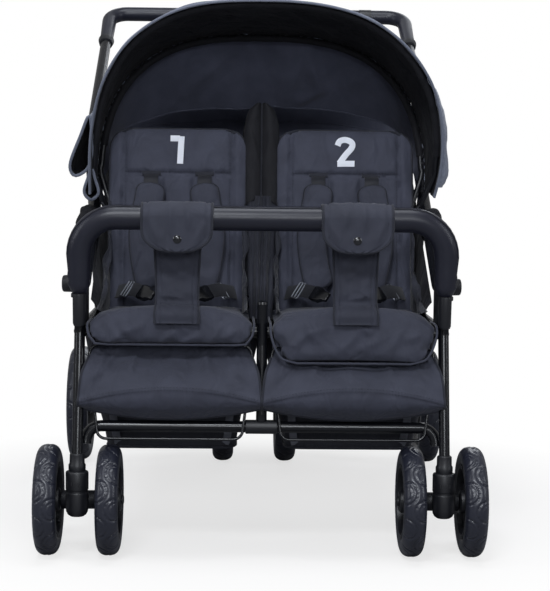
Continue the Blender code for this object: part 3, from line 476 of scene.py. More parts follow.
def sleeve(path, outer, bore, sides=24):
    """A tube with a bore right through it, its mouths rounded."""
    path = [Vector(point) for point in path]
    outer = outer if isinstance(outer, list) else [outer] * len(path)
    rings = []
    for radii in (outer, [bore] * len(path)):
        layer = [circle(*place, r, sides) for place, r in zip(frames_along(path), radii)]
        rings += layer if radii is outer else layer[::-1]
    return loft(rings, closed=True)


def strap(path, across, width, thick=0.0016, closed=False):
    """A flat band along a path; across is the direction of its width, one or one for each point."""
    path = [Vector(point) for point in path]
    wide = across if isinstance(across, list) else [Vector(across)] * len(path)
    widths = width if isinstance(width, list) else [width] * len(path)
    rings = []
    count = len(path)
    for i, point in enumerate(path):
        before = path[i - 1] if i or closed else point
        after = path[(i + 1) % count] if i < count - 1 or closed else point
        along = (after - before).normalized()
        side = (wide[i] - along * wide[i].dot(along)).normalized()
        up = along.cross(side)
        half, edge = widths[i] / 2, thick * 0.35
        outline = [(-half, -edge), (-half + edge, -thick / 2), (half - edge, -thick / 2), (half, -edge)]
        outline += [(half, edge), (half - edge, thick / 2), (-half + edge, thick / 2), (-half, edge)]
        rings.append([point + side * u + up * v for u, v in outline])
    return loft(rings, closed)


def turned(outline, centre, steps=72):
    """A closed outline of (along X, radius) points turned about a line along X."""
    rings = []
    for i in range(steps):
        angle = math.tau * i / steps
        across = Vector((0, math.cos(angle), math.sin(angle)))
        rings.append([Vector(centre) + Vector((x, 0, 0)) + across * r for x, r in outline])
    return loft(rings, closed=True)


def stack(outline, centre, axis, steps=32):
    """A round solid from (distance along the axis, radius) points."""
    axis = Vector(axis).normalized()
    across = axis.orthogonal().normalized()
    other = axis.cross(across)
    return loft([circle(Vector(centre) + axis * along, across, other, r, steps) for along, r in outline])


def mirrored(outline):
    """The other half of an outline whose middle lies at zero."""
    return [(-along, radius) for along, radius in reversed(outline)]


def block(low, high):
    """A box between two corners."""
    low, high = Vector(low), Vector(high)
    corners = ((low.x, low.y), (high.x, low.y), (high.x, high.y), (low.x, high.y))
    return loft([[Vector((x, y, z)) for x, y in corners] for z in (low.z, high.z)])


def slab(front, back, index=0, back_index=None):
    """A closed skin between two grids of points; the back may have a finish of its own."""
    rows, columns = len(front), len(front[0])
    points = [point for grid in (front, back) for row in grid for point in row]
    back_index = index if back_index is None else back_index

    def at(side, row, column):
        return side * rows * columns + row * columns + column

    faces, finishes = [], []
    for i in range(rows - 1):
        for k in range(columns - 1):
            faces.append((at(0, i, k), at(0, i, k + 1), at(0, i + 1, k + 1), at(0, i + 1, k)))
            faces.append((at(1, i, k), at(1, i + 1, k), at(1, i + 1, k + 1), at(1, i, k + 1)))
            finishes += [index, back_index]
    for i in range(rows - 1):
        for k in (0, columns - 1):
            faces.append((at(0, i, k), at(0, i + 1, k), at(1, i + 1, k), at(1, i, k)))
            finishes.append(index)
    for k in range(columns - 1):
        for i in (0, rows - 1):
            faces.append((at(0, i, k), at(0, i, k + 1), at(1, i, k + 1), at(1, i, k)))
            finishes.append(index)
    return points, faces, finishes


def refined(rows, along, across):
    """A grid of points made finer by smooth curves, first along its rows, then across them."""
    rows = [smooth_route(row, along) for row in rows] if along > 1 else [list(row) for row in rows]
    columns = [smooth_route(column, across) for column in zip(*rows)] if across > 1 else list(zip(*rows))
    return [list(row) for row in zip(*columns)]


def closed_mesh(name, points, faces, indices=None):
    """A mesh from points and faces, its normals turned outwards."""
    mesh = bpy.data.meshes.new(name)
    mesh.from_pydata([tuple(point) for point in points], [], faces)
    if indices:
        mesh.polygons.foreach_set("material_index", indices)
    work = bmesh.new()
    work.from_mesh(mesh)
    bmesh.ops.recalc_face_normals(work, faces=work.faces)
    work.to_mesh(mesh)
    work.free()
    return mesh


def in_scene(name, data):
    """An object of some data, linked to the scene."""
    made = bpy.data.objects.new(name, data)
    bpy.context.scene.collection.objects.link(made)
    return made


def smoothed(made, angle):
    """Shade a mesh smooth, with sharp edges past an angle in degrees."""
    made.data.shade_smooth()
    made.data.set_sharp_from_angle(angle=math.radians(angle))


def piece(name, skins, finishes, body, replaced=(), angle=38, bevel=0.0):
    """A finished object from skins: its finishes, the body it rides on and the solids it stands for."""
    finishes = [finishes] if isinstance(finishes, str) else list(finishes)
    points, faces, indices = [], [], []
    for skin in skins:
        start = len(points)
        points += skin[0]
        faces += [tuple(index + start for index in face) for face in skin[1]]
        given = skin[2] if len(skin) > 2 else 0
        indices += list(given) if isinstance(given, list) else [given] * len(skin[1])
    mesh = closed_mesh(name, points, faces, indices)
    for finish in finishes:
        mesh.materials.append(MATERIALS[finish])
    made = in_scene(name, mesh)
    if bevel:
        edge = made.modifiers.new("edge", "BEVEL")
        edge.width = bevel
        edge.segments = 3
        edge.limit_method = "ANGLE"
        edge.angle_limit = math.radians(angle)
        edge.harden_normals = False
    settle(made)
    smoothed(made, angle)
    return placed(made, body, replaced)


def settle(made):
    """Turn an object's modifiers into its plain mesh."""
    if not made.modifiers:
        return
    graph = bpy.context.evaluated_depsgraph_get()
    mesh = bpy.data.meshes.new_from_object(made.evaluated_get(graph))
    made.modifiers.clear()
    made.data = mesh


def placed(made, body, replaced=()):
    """Hang a piece on its body, or fix it in place where it lies between bodies, and hide the solids it stands for.
    """
    if isinstance(body, tuple):
        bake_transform(made)
    else:
        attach(made, body)
    if replaced:
        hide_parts(*([replaced] if isinstance(replaced, str) else replaced))
    return made


def ripple(point, size, depth, seed=0.0):
    """A smooth random height between minus and plus depth, the same each run."""
    return noise.noise(Vector(point) / size + Vector((seed, seed * 1.7, -seed))) * depth


def wrinkles(point, size, depth, seed=0.0, slant=0.6):
    """Height of creased cloth: sharp ridges that run on a slant, broken up along their length."""
    point = Vector(point) / size
    turned_point = Vector((point.x + slant * point.z, point.y * 0.6, (point.z - slant * point.x) * 0.42))
    turned_point += Vector((seed, seed * 1.7, -seed))
    sway = noise.noise(turned_point * 0.5) * 0.9
    ridge = 1 - abs(noise.noise(turned_point + Vector((sway, 0, sway)))) * 2.6
    return depth * max(ridge, 0) ** 2 * (0.55 + noise.noise(turned_point * 0.37))


def folds(x, z, lines):
    """Height of pressed folds at a place; each line has two ends, a width and a rise."""
    total = 0.0
    for (x0, z0), (x1, z1), width, rise in lines:
        along = Vector((x1 - x0, z1 - z0))
        reach = along.length
        along /= reach
        t = ((x - x0) * along.x + (z - z0) * along.y) / reach
        off = (x - x0) * along.y - (z - z0) * along.x
        sharp = width if off > 0 else width * 0.45
        fade = max(math.sin(math.pi * min(max(t * 0.8 + 0.1, 0), 1)), 0) if -0.12 < t < 1.12 else 0
        total += rise * fade * math.exp(-((off / sharp) ** 2))
    return total


# Repeated details


def new_tree(name, sockets):
    """A Geometry Nodes tree with named inputs, its input sockets and the end that takes its result."""
    tree = bpy.data.node_groups.new(name, "GeometryNodeTree")
    tree.interface.new_socket("Geometry", in_out="INPUT", socket_type="NodeSocketGeometry")
    for label, kind, value in sockets:
        socket = tree.interface.new_socket(label, in_out="INPUT", socket_type="NodeSocket" + kind)
        if value is not None:
            socket.default_value = value
    tree.interface.new_socket("Geometry", in_out="OUTPUT", socket_type="NodeSocketGeometry")
    start = tree.nodes.new("NodeGroupInput").outputs
    end = tree.nodes.new("NodeGroupOutput").inputs[0]
    return tree, start, end


def finish_tree(tree, start, end, instances):
    """End a tree in real copies with their material."""
    real = add_node(tree, "GeometryNodeRealizeInstances", {0: instances})
    paint = {"Geometry": real.outputs[0], "Material": start["Finish"]}
    painted = add_node(tree, "GeometryNodeSetMaterial", paint)
    tree.links.new(painted.outputs[0], end)
    return tree


def stitch_tree():
    """Short rounded stitches along a path."""
    sockets = (("Spacing", "Float", 0.005), ("Length", "Float", 0.003), ("Thickness", "Float", 0.0008))
    tree, start, end = new_tree("Stitches", sockets + (("Finish", "Material", None),))
    path = add_node(tree, "GeometryNodeMeshToCurve", {0: start["Geometry"]})
    spacing = {"Curve": path.outputs[0], "Length": start["Spacing"]}
    spots = add_node(tree, "GeometryNodeCurveToPoints", spacing, mode="LENGTH")
    thread = add_node(tree, "GeometryNodeMeshUVSphere", {"Segments": 6, "Rings": 4, "Radius": 0.5})
    sizes = {0: start["Thickness"], 1: start["Thickness"], 2: start["Length"]}
    size = add_node(tree, "ShaderNodeCombineXYZ", sizes)
    put = {"Points": spots.outputs["Points"], "Instance": thread.outputs["Mesh"]}
    put.update(Rotation=spots.outputs["Rotation"], Scale=size.outputs[0])
    placed_threads = add_node(tree, "GeometryNodeInstanceOnPoints", put)
    return finish_tree(tree, start, end, placed_threads.outputs[0])


def ring_tree():
    """Copies of an item turned round a line along X."""
    sockets = (("Item", "Object", None), ("Count", "Int", 5), ("Centre", "Vector", None))
    tree, start, end = new_tree("Ring of copies", sockets + (("Finish", "Material", None),))
    spots = add_node(tree, "GeometryNodePoints", {"Count": start["Count"]})
    index = add_node(tree, "GeometryNodeInputIndex")
    turns = add_node(tree, "ShaderNodeMath", {0: index.outputs[0], 1: start["Count"]}, operation="DIVIDE")
    angle = add_node(tree, "ShaderNodeMath", {0: turns.outputs[0], 1: math.tau}, operation="MULTIPLY")
    euler = add_node(tree, "ShaderNodeCombineXYZ", {0: angle.outputs[0]})
    turn = add_node(tree, "FunctionNodeEulerToRotation", {0: euler.outputs[0]})
    item = add_node(tree, "GeometryNodeObjectInfo", {"Object": start["Item"]})
    put = {"Points": spots.outputs[0], "Instance": item.outputs["Geometry"], "Rotation": turn.outputs[0]}
    around = add_node(tree, "GeometryNodeInstanceOnPoints", put)
    shift = {0: around.outputs[0], "Translation": start["Centre"], "Local Space": False}
    moved = add_node(tree, "GeometryNodeTranslateInstances", shift)
    return finish_tree(tree, start, end, moved.outputs[0])


def row_tree():
    """Copies of an item in a straight row."""
    sockets = (("Item", "Object", None), ("Count", "Int", 5), ("First", "Vector", None))
    sockets += (("Step", "Vector", None), ("Finish", "Material", None))
    tree, start, end = new_tree("Row of copies", sockets)
    line = {"Count": start["Count"], "Start Location": start["First"], "Offset": start["Step"]}
    spots = add_node(tree, "GeometryNodeMeshLine", line, mode="OFFSET")
    item = add_node(tree, "GeometryNodeObjectInfo", {"Object": start["Item"]})
    put = {"Points": spots.outputs[0], "Instance": item.outputs["Geometry"]}
    row = add_node(tree, "GeometryNodeInstanceOnPoints", put)
    return finish_tree(tree, start, end, row.outputs[0])


TREES = {}


def grown(name, kind, mesh, finish, values, body, angle=40):
    """A piece that a tree makes, turned into a plain mesh."""
    makers = {"stitches": stitch_tree, "ring": ring_tree, "row": row_tree}
    if kind not in TREES:
        TREES[kind] = makers[kind]()
    tree = TREES[kind]
    made = in_scene(name, mesh or bpy.data.meshes.new(name))
    modifier = made.modifiers.new(kind, "NODES")
    modifier.node_group = tree
    values = dict(values, Finish=MATERIALS[finish])
    for socket in tree.interface.items_tree:
        if socket.in_out == "INPUT" and socket.name in values:
            modifier[socket.identifier] = values[socket.name]
    settle(made)
    smoothed(made, angle)
    return placed(made, body)


def stitches(name, paths, body, finish="cloth", spacing=0.0052, size=0.0034, thick=0.0009, closed=False):
    """Rows of stitches along paths."""
    points, edges = [], []
    for path in paths:
        start = len(points)
        points += [tuple(point) for point in path]
        edges += [(start + i, start + i + 1) for i in range(len(path) - 1)]
        if closed:
            edges.append((len(points) - 1, start))
    mesh = bpy.data.meshes.new(name)
    mesh.from_pydata(points, edges, [])
    values = {"Spacing": spacing, "Length": size, "Thickness": thick}
    return grown(name, "stitches", mesh, finish, values, body)


def copies(name, kind, skin, finish, values, body):
    """A ring or row of copies of one small shape."""
    item = bpy.data.objects.new(name + "_item", closed_mesh(name + "_item", *skin))
    made = grown(name, kind, None, finish, dict(values, Item=item), body)
    bpy.data.objects.remove(item)
    return made


# Frame


LEG_LEAN = 0.19
LEG_BEND = 0.03
# How far the cross tube's middle lies behind the front legs'
CROSS_TUBE_BEHIND = 0.0193
SOCKET_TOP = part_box("caster_socket_right")[1].z
CASTER_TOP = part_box("caster_yoke_right")[1].z
CASTER_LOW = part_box("caster_yoke_right")[0].z
JOINT_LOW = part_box("side_joint_right")[0].z
JOINT_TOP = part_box("side_joint_right")[1].z
JOINT_Y = -0.4195
# Height at which the bumper's socket ends, in front of each side joint
NOSE_TOP = 0.437
JOINT_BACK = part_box("side_joint_right")[1].y
JOINT_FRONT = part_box("side_joint_right")[0].y
RAIL_FRONT_Y = -0.436
RAIL_REAR_Y = REAR_BACK_HINGE.y
REAR_ROW_Y = 0.075
ARM_TOP = Vector((0, 0.165, 0.668))
HOUSING_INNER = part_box("hinge_housing_right")[0].x
HOUSING_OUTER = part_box("hinge_housing_right")[1].x
HINGE_R = 0.034
# Length of a hinge's sleeves over its tubes
HINGE_SLEEVE = 0.05
PUSH_START = Vector((0, JOINT_BACK + 0.015, 0.447))


def sided(sign, point):
    """A point of the middle plane moved to a frame side."""
    return Vector((sign * FRAME_X, point.y, point.z))


def leg_y(z):
    return CASTER_Y + LEG_LEAN * (z - SOCKET_TOP)


def front_leg_pieces():
    r = setting("stroller_frame").front_tube
    for side, sign in SIDES:
        x = sign * FRAME_X
        corners = [(x, CASTER_Y, SOCKET_TOP + GAP), (x, CASTER_Y, SOCKET_TOP + 0.012)]
        corners += [(x, leg_y(JOINT_LOW), JOINT_LOW - 0.012), (x, leg_y(JOINT_LOW), JOINT_LOW)]
        leg = tube(rounded_path(corners, LEG_BEND, 4), r)
        piece(f"leg_{side}", [leg], "tube", "frame", f"front_leg_{side}")
    low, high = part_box("front_leg_middle")
    foot = Vector((0, low.y + r, low.z))
    head = Vector((0, high.y - r, high.z))
    corners = [foot, foot + Vector((0, 0, 0.01)), Vector((0, head.y, RAIL_Z - 0.02)), head]
    cap = stack([(0, r), (0.004, r * 0.9), (0.006, r * 0.5)], head, (0, 0, 1))
    skins = [tube(rounded_path(corners, LEG_BEND, 4), r), cap]
    piece("leg_middle", skins, "tube", "frame", "front_leg_middle")


def cross_tube_pieces():
    r = setting("stroller_frame").cross_tube
    low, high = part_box("front_cross_tube")
    x, top, foot = high.x - r, high.z - r, low.z + 0.0022
    corners = [(-x, leg_y(z) + CROSS_TUBE_BEHIND, z) for z in (foot, top)]
    corners += [(-a, b, c) for a, b, c in corners[::-1]]
    path = rounded_path(corners, 0.026, 8)
    piece("cross_tube", [tube(path, r)], "tube", "frame", "front_cross_tube")
    centre = (0, leg_y(top) + CROSS_TUBE_BEHIND, top)
    band = [(-0.0265, r + 0.0008), (-0.0255, r + 0.0022), (0.0255, r + 0.0022), (0.0265, r + 0.0008)]
    piece("cross_tube_sleeve", [stack(band, centre, (1, 0, 0))], "plastic", "frame")


def push_tube_pieces():
    r = setting("stroller_frame").tube
    hinge = Vector((0, HINGE.y, HINGE.z))
    way = (hinge - PUSH_START).normalized()
    arm = (ARM_TOP - hinge).normalized()
    rear_foot = Vector((0, RAIL_REAR_Y - 0.013, RAIL_Z + r))
    for side, sign in SIDES:
        start = sided(sign, Vector((0, JOINT_BACK, PUSH_START.z)))
        corners = [start, sided(sign, PUSH_START), sided(sign, hinge - way * HINGE_SLEEVE)]
        route = rounded_path(corners, LEG_BEND, 4)
        piece(f"push_tube_{side}_painted", [tube(route, r)], "tube", "frame", f"push_tube_{side}")
        corners = [hinge + arm * HINGE_SLEEVE, ARM_TOP, rear_foot + Vector((0, 0, 0.02)), rear_foot]
        route = rounded_path([sided(sign, point) for point in corners], 0.045)
        piece(f"arm_{side}", [tube(route, r)], "tube", "frame", f"rear_arm_{side}")


def seat_frame_piece():
    s = setting("stroller_frame")
    skins = []
    for x in (-FRAME_X, 0, FRAME_X):
        front = RAIL_FRONT_Y - 0.0115 if x else RAIL_FRONT_Y
        skins.append(tube([(x, front, RAIL_Z), (x, RAIL_REAR_Y + 0.008, RAIL_Z)], s.tube))
    for y in (RAIL_FRONT_Y, FRONT_BACK_HINGE.y, REAR_ROW_Y, RAIL_REAR_Y):
        skins.append(tube([(-FRAME_X, y, RAIL_Z), (FRAME_X, y, RAIL_Z)], s.cross_rail))
    piece("seat_frame_painted", skins, "tube", "frame", "seat_frame")


def rear_leg_pieces():
    r = setting("stroller_frame").tube
    for side, sign in SIDES:
        x = sign * FOLD_X
        leg = tube([(x, LEG_HINGE.y, LEG_HINGE.z), (x, REAR_AXLE.y, REAR_AXLE.z)], r)
        skins = [leg]
        for y, z, boss in ((LEG_HINGE.y, LEG_HINGE.z, 0.015), (REAR_AXLE.y, REAR_AXLE.z, 0.016)):
            outline = [(-r, boss - 0.002), (-r + 0.002, boss), (r - 0.002, boss), (r, boss - 0.002)]
            skins.append(stack(outline, (x, y, z), (1, 0, 0)))
        piece(f"rear_leg_{side}_painted", skins, "tube", "rear_legs", f"rear_leg_{side}")


def hinge_pieces():
    """The fixed halves of the folding joint: a disc with a raised ring, sleeves and a lug."""
    hinge = Vector((0, HINGE.y, HINGE.z))
    front = (PUSH_START - hinge).normalized()
    rear = (ARM_TOP - hinge).normalized()
    r = HINGE_R
    for side, sign in SIDES:
        low, high = sorted((sign * HOUSING_INNER, sign * HOUSING_OUTER))
        centre = sided(sign, hinge)
        disc = [(low, r - 0.003), (low + 0.003, r), (high - 0.003, r), (high, r - 0.003)]
        skins = [stack(disc, hinge, (1, 0, 0), 48)]
        lug = [(low + GAP, 0.017), (low + 0.002, 0.018), (high - 0.002, 0.018), (high - GAP, 0.017)]
        skins.append(stack(lug, (0, LEG_HINGE.y, LEG_HINGE.z), (1, 0, 0), 36))
        for way in (front, rear):
            sleeve_line = [(0.01, 0.0148), (HINGE_SLEEVE - 0.003, 0.0138), (HINGE_SLEEVE, 0.0125)]
            skins.append(stack(sleeve_line, centre, way, 28))
        piece(f"hinge_{side}", skins, "plastic", "frame", f"hinge_housing_{side}")
        inner = sign * HOUSING_INNER
        ring = [(0, 0.016), (sign * 0.0008, 0.016), (sign * 0.0008, 0.022), (0, 0.022)]
        turned_ring = turned([(inner - x, radius) for x, radius in ring], hinge, 48)
        head = [(0, 0.006), (-sign * 0.0016, 0.0055), (-sign * 0.0024, 0.003)]
        rivet = stack(head, hinge + Vector((inner, 0, 0)), (1, 0, 0))
        piece(f"hinge_rivet_{side}", [turned_ring, rivet], "steel", "frame")


def side_joint_pieces():
    """Rounded housings at the corners of the seat frame, with a nose, a knob and a collar for the bumper's socket.
    """
    for side, sign in SIDES:
        x = sign * FRAME_X
        low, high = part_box(f"side_joint_{side}")
        half, nose_r, tall = 0.0098, 0.0102, NOSE_TOP - JOINT_LOW
        body = block((x - half, -0.449, JOINT_LOW), (x + half, JOINT_BACK, JOINT_TOP))
        neck_low = (x - 0.007, JOINT_FRONT + 0.010, JOINT_LOW + 0.004)
        neck = block(neck_low, (x + 0.007, -0.440, NOSE_TOP - 0.004))
        piece(f"joint_{side}", [body, neck], "plastic", "frame", f"side_joint_{side}", bevel=0.005)
        outline = [(0, 0.0088), (0.004, nose_r), (tall - 0.003, nose_r), (tall, 0.0096)]
        nose = stack(outline, (x, JOINT_FRONT + 0.0145, JOINT_LOW + 0.0005), (0, -0.12, 1), 28)
        piece(f"joint_nose_{side}", [nose], "plastic", "frame")
        knob = JOINT_TOP - 0.018
        reach = (high.x if sign > 0 else low.x) - x
        outline = [(sign * 0.013, 0.0145), (reach - sign * 0.003, 0.014), (reach - sign * 0.001, 0.0125)]
        outline += [(reach, 0.0095)]
        skins = [stack(outline, (x, JOINT_Y, knob), (1, 0, 0), 36)]
        piece(f"joint_knob_{side}", skins, "plastic", "frame")
        ring = [(-0.004, 0.0135), (0.001, 0.0135), (0.003, 0.0115)]
        collar = stack(ring, (x, -0.4705, NOSE_TOP - 0.002), (0, -0.15, 1))
        piece(f"bumper_socket_{side}", [collar], "plastic", "frame")


# Casters and wheels


# Lower and upper edge and depth of the groove round a caster's housing
CASTER_GROOVE = (0.1105, 0.1165, 0.0012)


def caster_pieces():
    """A collar on each front leg and the swivelling housing below it, with the boss and pin of its wheels."""
    r = setting("stroller_frame").caster
    hub_reach = abs(FRONT_AXLE.x - FRAME_X)
    inner = hub_reach - FRONT_WHEEL_W / 2 - 0.0005
    outer = hub_reach + FRONT_WHEEL_W / 2
    for side, sign in SIDES:
        x = sign * FRAME_X
        collar = [(CASTER_TOP + GAP, 0.0138), (CASTER_TOP + 0.004, 0.0142), (SOCKET_TOP - 0.003, 0.0142)]
        collar += [(SOCKET_TOP, 0.0125), (SOCKET_TOP + 0.014, 0.0122), (SOCKET_TOP + 0.016, 0.0100)]
        foot = (x, CASTER_Y, 0)
        skins = [stack(collar, foot, (0, 0, 1))]
        piece(f"caster_collar_{side}", skins, "plastic", "frame", f"caster_socket_{side}")
        outline = [(CASTER_LOW, r * 0.6), (CASTER_LOW + 0.003, r * 0.82), (CASTER_LOW + 0.008, r * 0.95)]
        low, high, deep = CASTER_GROOVE
        outline += [(CASTER_LOW + 0.014, r), (low, r), (low + 0.001, r - deep), (high - 0.001, r - deep)]
        outline += [(high, r), (CASTER_TOP - 0.003, r), (CASTER_TOP - 0.001, r - 0.001)]
        outline += [(CASTER_TOP, r - 0.003)]
        skins = [stack(outline, foot, (0, 0, 1), 40)]
        skins.append(block((x - 0.0135, CASTER_Y, 0.080), (x + 0.0135, FRONT_AXLE.y, 0.123)))
        centre = (x, FRONT_AXLE.y, FRONT_AXLE.z)
        boss = [(-inner, 0.014), (-inner + 0.002, 0.0155), (inner - 0.002, 0.0155), (inner, 0.014)]
        skins.append(stack(boss, centre, (1, 0, 0)))
        pin = [(-outer - 0.0038, 0.005), (-outer - 0.003, 0.008), (-outer - GAP, 0.009)]
        pin += [(-outer - GAP, 0.0048)]
        skins.append(stack(pin + mirrored(pin), centre, (1, 0, 0)))
        body = f"caster_{side}"
        piece(f"caster_housing_{side}", skins, "plastic", body, f"caster_yoke_{side}", bevel=0.0006)
        rib = block((-0.0007, -r - 0.0005, 0), (0.0007, -r + 0.003, 0.0055))
        rib = ([point + Vector((x, CASTER_Y, 0)) for point in rib[0]], rib[1])
        row = {"Count": 5, "First": (-0.0076, 0.0, 0.1245), "Step": (0.0038, 0.0, 0.0)}
        copies(f"caster_ribs_{side}", "row", rib, "plastic", row, body)


def tread_grid(centre, profile, count, depth, steps=360):
    """A tyre's skin with round grooves on its shoulders, which alternate from side to side."""
    half = max(x for x, _ in profile)
    outer = max(r for _, r in profile)
    reach = outer * math.pi / count * 0.60
    step = math.tau / count
    rings = []
    for i in range(steps):
        angle = math.tau * i / steps
        across = Vector((0, math.cos(angle), math.sin(angle)))
        ring = []
        for x, r in profile:
            cut = 0.0
            for sign, shift in ((1, 0.0), (-1, 0.5)):
                along = ((angle / step + shift) % 1.0 - 0.5) * step * outer
                down = (sign * x - half * 0.92) + (outer - r) * 0.35
                distance = math.hypot(along, down)
                if r > outer - 0.024:
                    inner_cut = 0.5 * groove(distance - reach * 0.62, 0.0012)
                    cut = max(cut, groove(distance - reach, 0.0013), inner_cut)
            ring.append(Vector(centre) + Vector((x, 0, 0)) + across * (r - cut * depth))
        rings.append(ring)
    return loft(rings, closed=True)


def tyre_profile(half, bead, bead_half, shoulder, outer, columns=34):
    """Outline of a tyre: bead, bulging side walls and a rounded crown."""
    side = []
    for i in range(columns + 1):
        angle = math.pi * i / columns
        x = half * math.copysign(abs(math.cos(angle)) ** 0.82, math.cos(angle))
        side.append((x, shoulder + (outer - shoulder) * abs(math.sin(angle)) ** 0.80))
    low = [(-half + 0.001, shoulder - 0.005), (-bead_half, bead + 0.001), (-bead_half + 0.002, bead)]
    return side + low + mirrored(low)


def spoke(centre_r, far_r, half_width, half_thick, waist=0.75):
    """One spoke standing on a hub, narrower in its middle."""
    rings = []
    for t in (0.0, 0.25, 0.5, 0.75, 1.0):
        r = centre_r + (far_r - centre_r) * t
        w = half_width * (1 - (1 - waist) * math.sin(math.pi * t))
        crown, edge = half_thick * 0.4, w * 1.08
        ring = [(-half_thick, -w), (-crown, -edge), (crown, -edge), (half_thick, -w)]
        ring += [(-x, -y) for x, y in ring]
        rings.append([Vector((x, y, r)) for x, y in ring])
    return loft(rings)


def front_wheel_pieces():
    s = setting("stroller_wheels")
    half, outer = FRONT_WHEEL_W / 2, FRONT_WHEEL_R
    for side, _ in SIDES:
        for place in PLACES:
            node = f"front_wheel_{side}_{place}"
            centre = middle_of(node)
            profile = tyre_profile(half - 0.0015, 0.062, half - 0.0055, outer - 0.020, outer)
            tread = tread_grid(centre, profile, s.scallops, s.scallop_depth)
            piece(f"{node}_tyre", [tread], "tyre", node, node, angle=50)
            rim = [(-half + 0.003, 0.0617), (-half + 0.003, 0.0560), (-half + 0.010, 0.0545)]
            hub = [(-half + 0.0006, 0.0055), (-half + 0.0006, 0.0165), (-half + 0.003, 0.0190)]
            hub += [(-0.006, 0.0205)]
            skins = [turned(rim + mirrored(rim), centre), turned(hub + mirrored(hub), centre, 48)]
            piece(f"{node}_rim", skins, "plastic", node)
            values = {"Count": s.spokes, "Centre": tuple(centre)}
            arm = spoke(0.019, 0.0555, 0.0085, 0.008)
            copies(f"{node}_spokes", "ring", arm, "plastic", values, node)


def rear_wheel_pieces():
    s = setting("stroller_wheels")
    half, outer, rim_r = REAR_WHEEL_W / 2, REAR_WHEEL_R, s.rear_rim
    for side, _ in SIDES:
        for place in PLACES:
            body = f"rear_wheel_{side}_{place}"
            centre = middle_of(f"rear_tyre_{side}_{place}")
            profile = tyre_profile(half - 0.001, rim_r, half - 0.006, outer - 0.022, outer)
            tread = tread_grid(centre, profile, s.scallops + 3, s.scallop_depth, 432)
            piece(f"{body}_tyre", [tread], "tyre", body, f"rear_tyre_{side}_{place}", angle=50)
            edge = half - 0.0005
            rim = [(-edge + 0.004, rim_r - GAP), (-edge + 0.002, rim_r - 0.006)]
            rim += [(-edge + 0.006, rim_r - 0.012), (-0.007, rim_r - 0.0155)]
            hub = [(-edge, 0.0065), (-edge, 0.0205), (-edge + 0.003, 0.0240), (-0.008, 0.0265)]
            skins = [turned(rim + mirrored(rim), centre), turned(hub + mirrored(hub), centre, 48)]
            piece(f"{body}_rim", skins, "plastic", body, f"rear_rim_{side}_{place}")
            values = {"Count": s.spokes, "Centre": tuple(centre)}
            arm = spoke(0.0245, rim_r - 0.0145, 0.012, 0.0075)
            copies(f"{body}_spokes", "ring", arm, "plastic", values, body)


def axle_pieces():
    """The rear axle with its end caps, and the two brake pedals."""
    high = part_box("rear_axle")[1]
    centre = (0, REAR_AXLE.y, REAR_AXLE.z)
    half = REAR_WHEEL_W / 2
    inner_x, outer_x = middle_of("rear_tyre_right_inner").x, REAR_AXLE.x
    runs = [(inner_x - half - 0.0003, 0.0108), (inner_x + half + 0.0003, 0.006), (FOLD_X - 0.0118, 0.0108)]
    runs += [(FOLD_X + 0.0115, 0.006), (outer_x - half - 0.0003, 0.009), (outer_x + half + 0.0003, 0.006)]
    runs += [(high.x - 0.002, 0.011), (high.x, 0.008)]
    outline, start = [], 0.0
    for end, radius in runs:
        outline += [(start, radius), (end, radius)]
        start = end
    outline = mirrored(outline[1:]) + outline[1:]
    piece("rear_axle_tube", [stack(outline, centre, (1, 0, 0))], "tube", "rear_legs", "rear_axle")
    for side, _ in SIDES:
        near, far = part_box(f"brake_pedal_{side}")
        ring = [(near.x, 0.0122), (near.x, 0.0165), (near.x + 0.002, 0.018), (far.x - 0.002, 0.018)]
        ring += [(far.x, 0.0165), (far.x, 0.0122)]
        plate_low = (near.x, REAR_AXLE.y + 0.0135, REAR_AXLE.z + 0.002)
        plate = block(plate_low, (far.x, far.y, REAR_AXLE.z + 0.012))
        body = f"brake_{side}"
        skins = [turned(ring, (0, REAR_AXLE.y, REAR_AXLE.z), 36), plate]
        piece(f"pedal_{side}", skins, "plastic", body, f"brake_pedal_{side}", bevel=0.0015)
        rib = block((-0.0012, 0, 0), (0.0012, 0.034, 0.0012))
        first = (near.x + 0.012, far.y - 0.041, REAR_AXLE.z + 0.0118)
        row = {"Count": 9, "First": first, "Step": (0.007, 0.0, 0.0)}
        copies(f"pedal_ribs_{side}", "row", rib, "plastic", row, body)


# Handle, bumper, hoops and wires


def across_middle(points):
    """The same points on the stroller's other side, in reverse."""
    return [Vector((-point.x, point.y, point.z)) for point in points[::-1]]


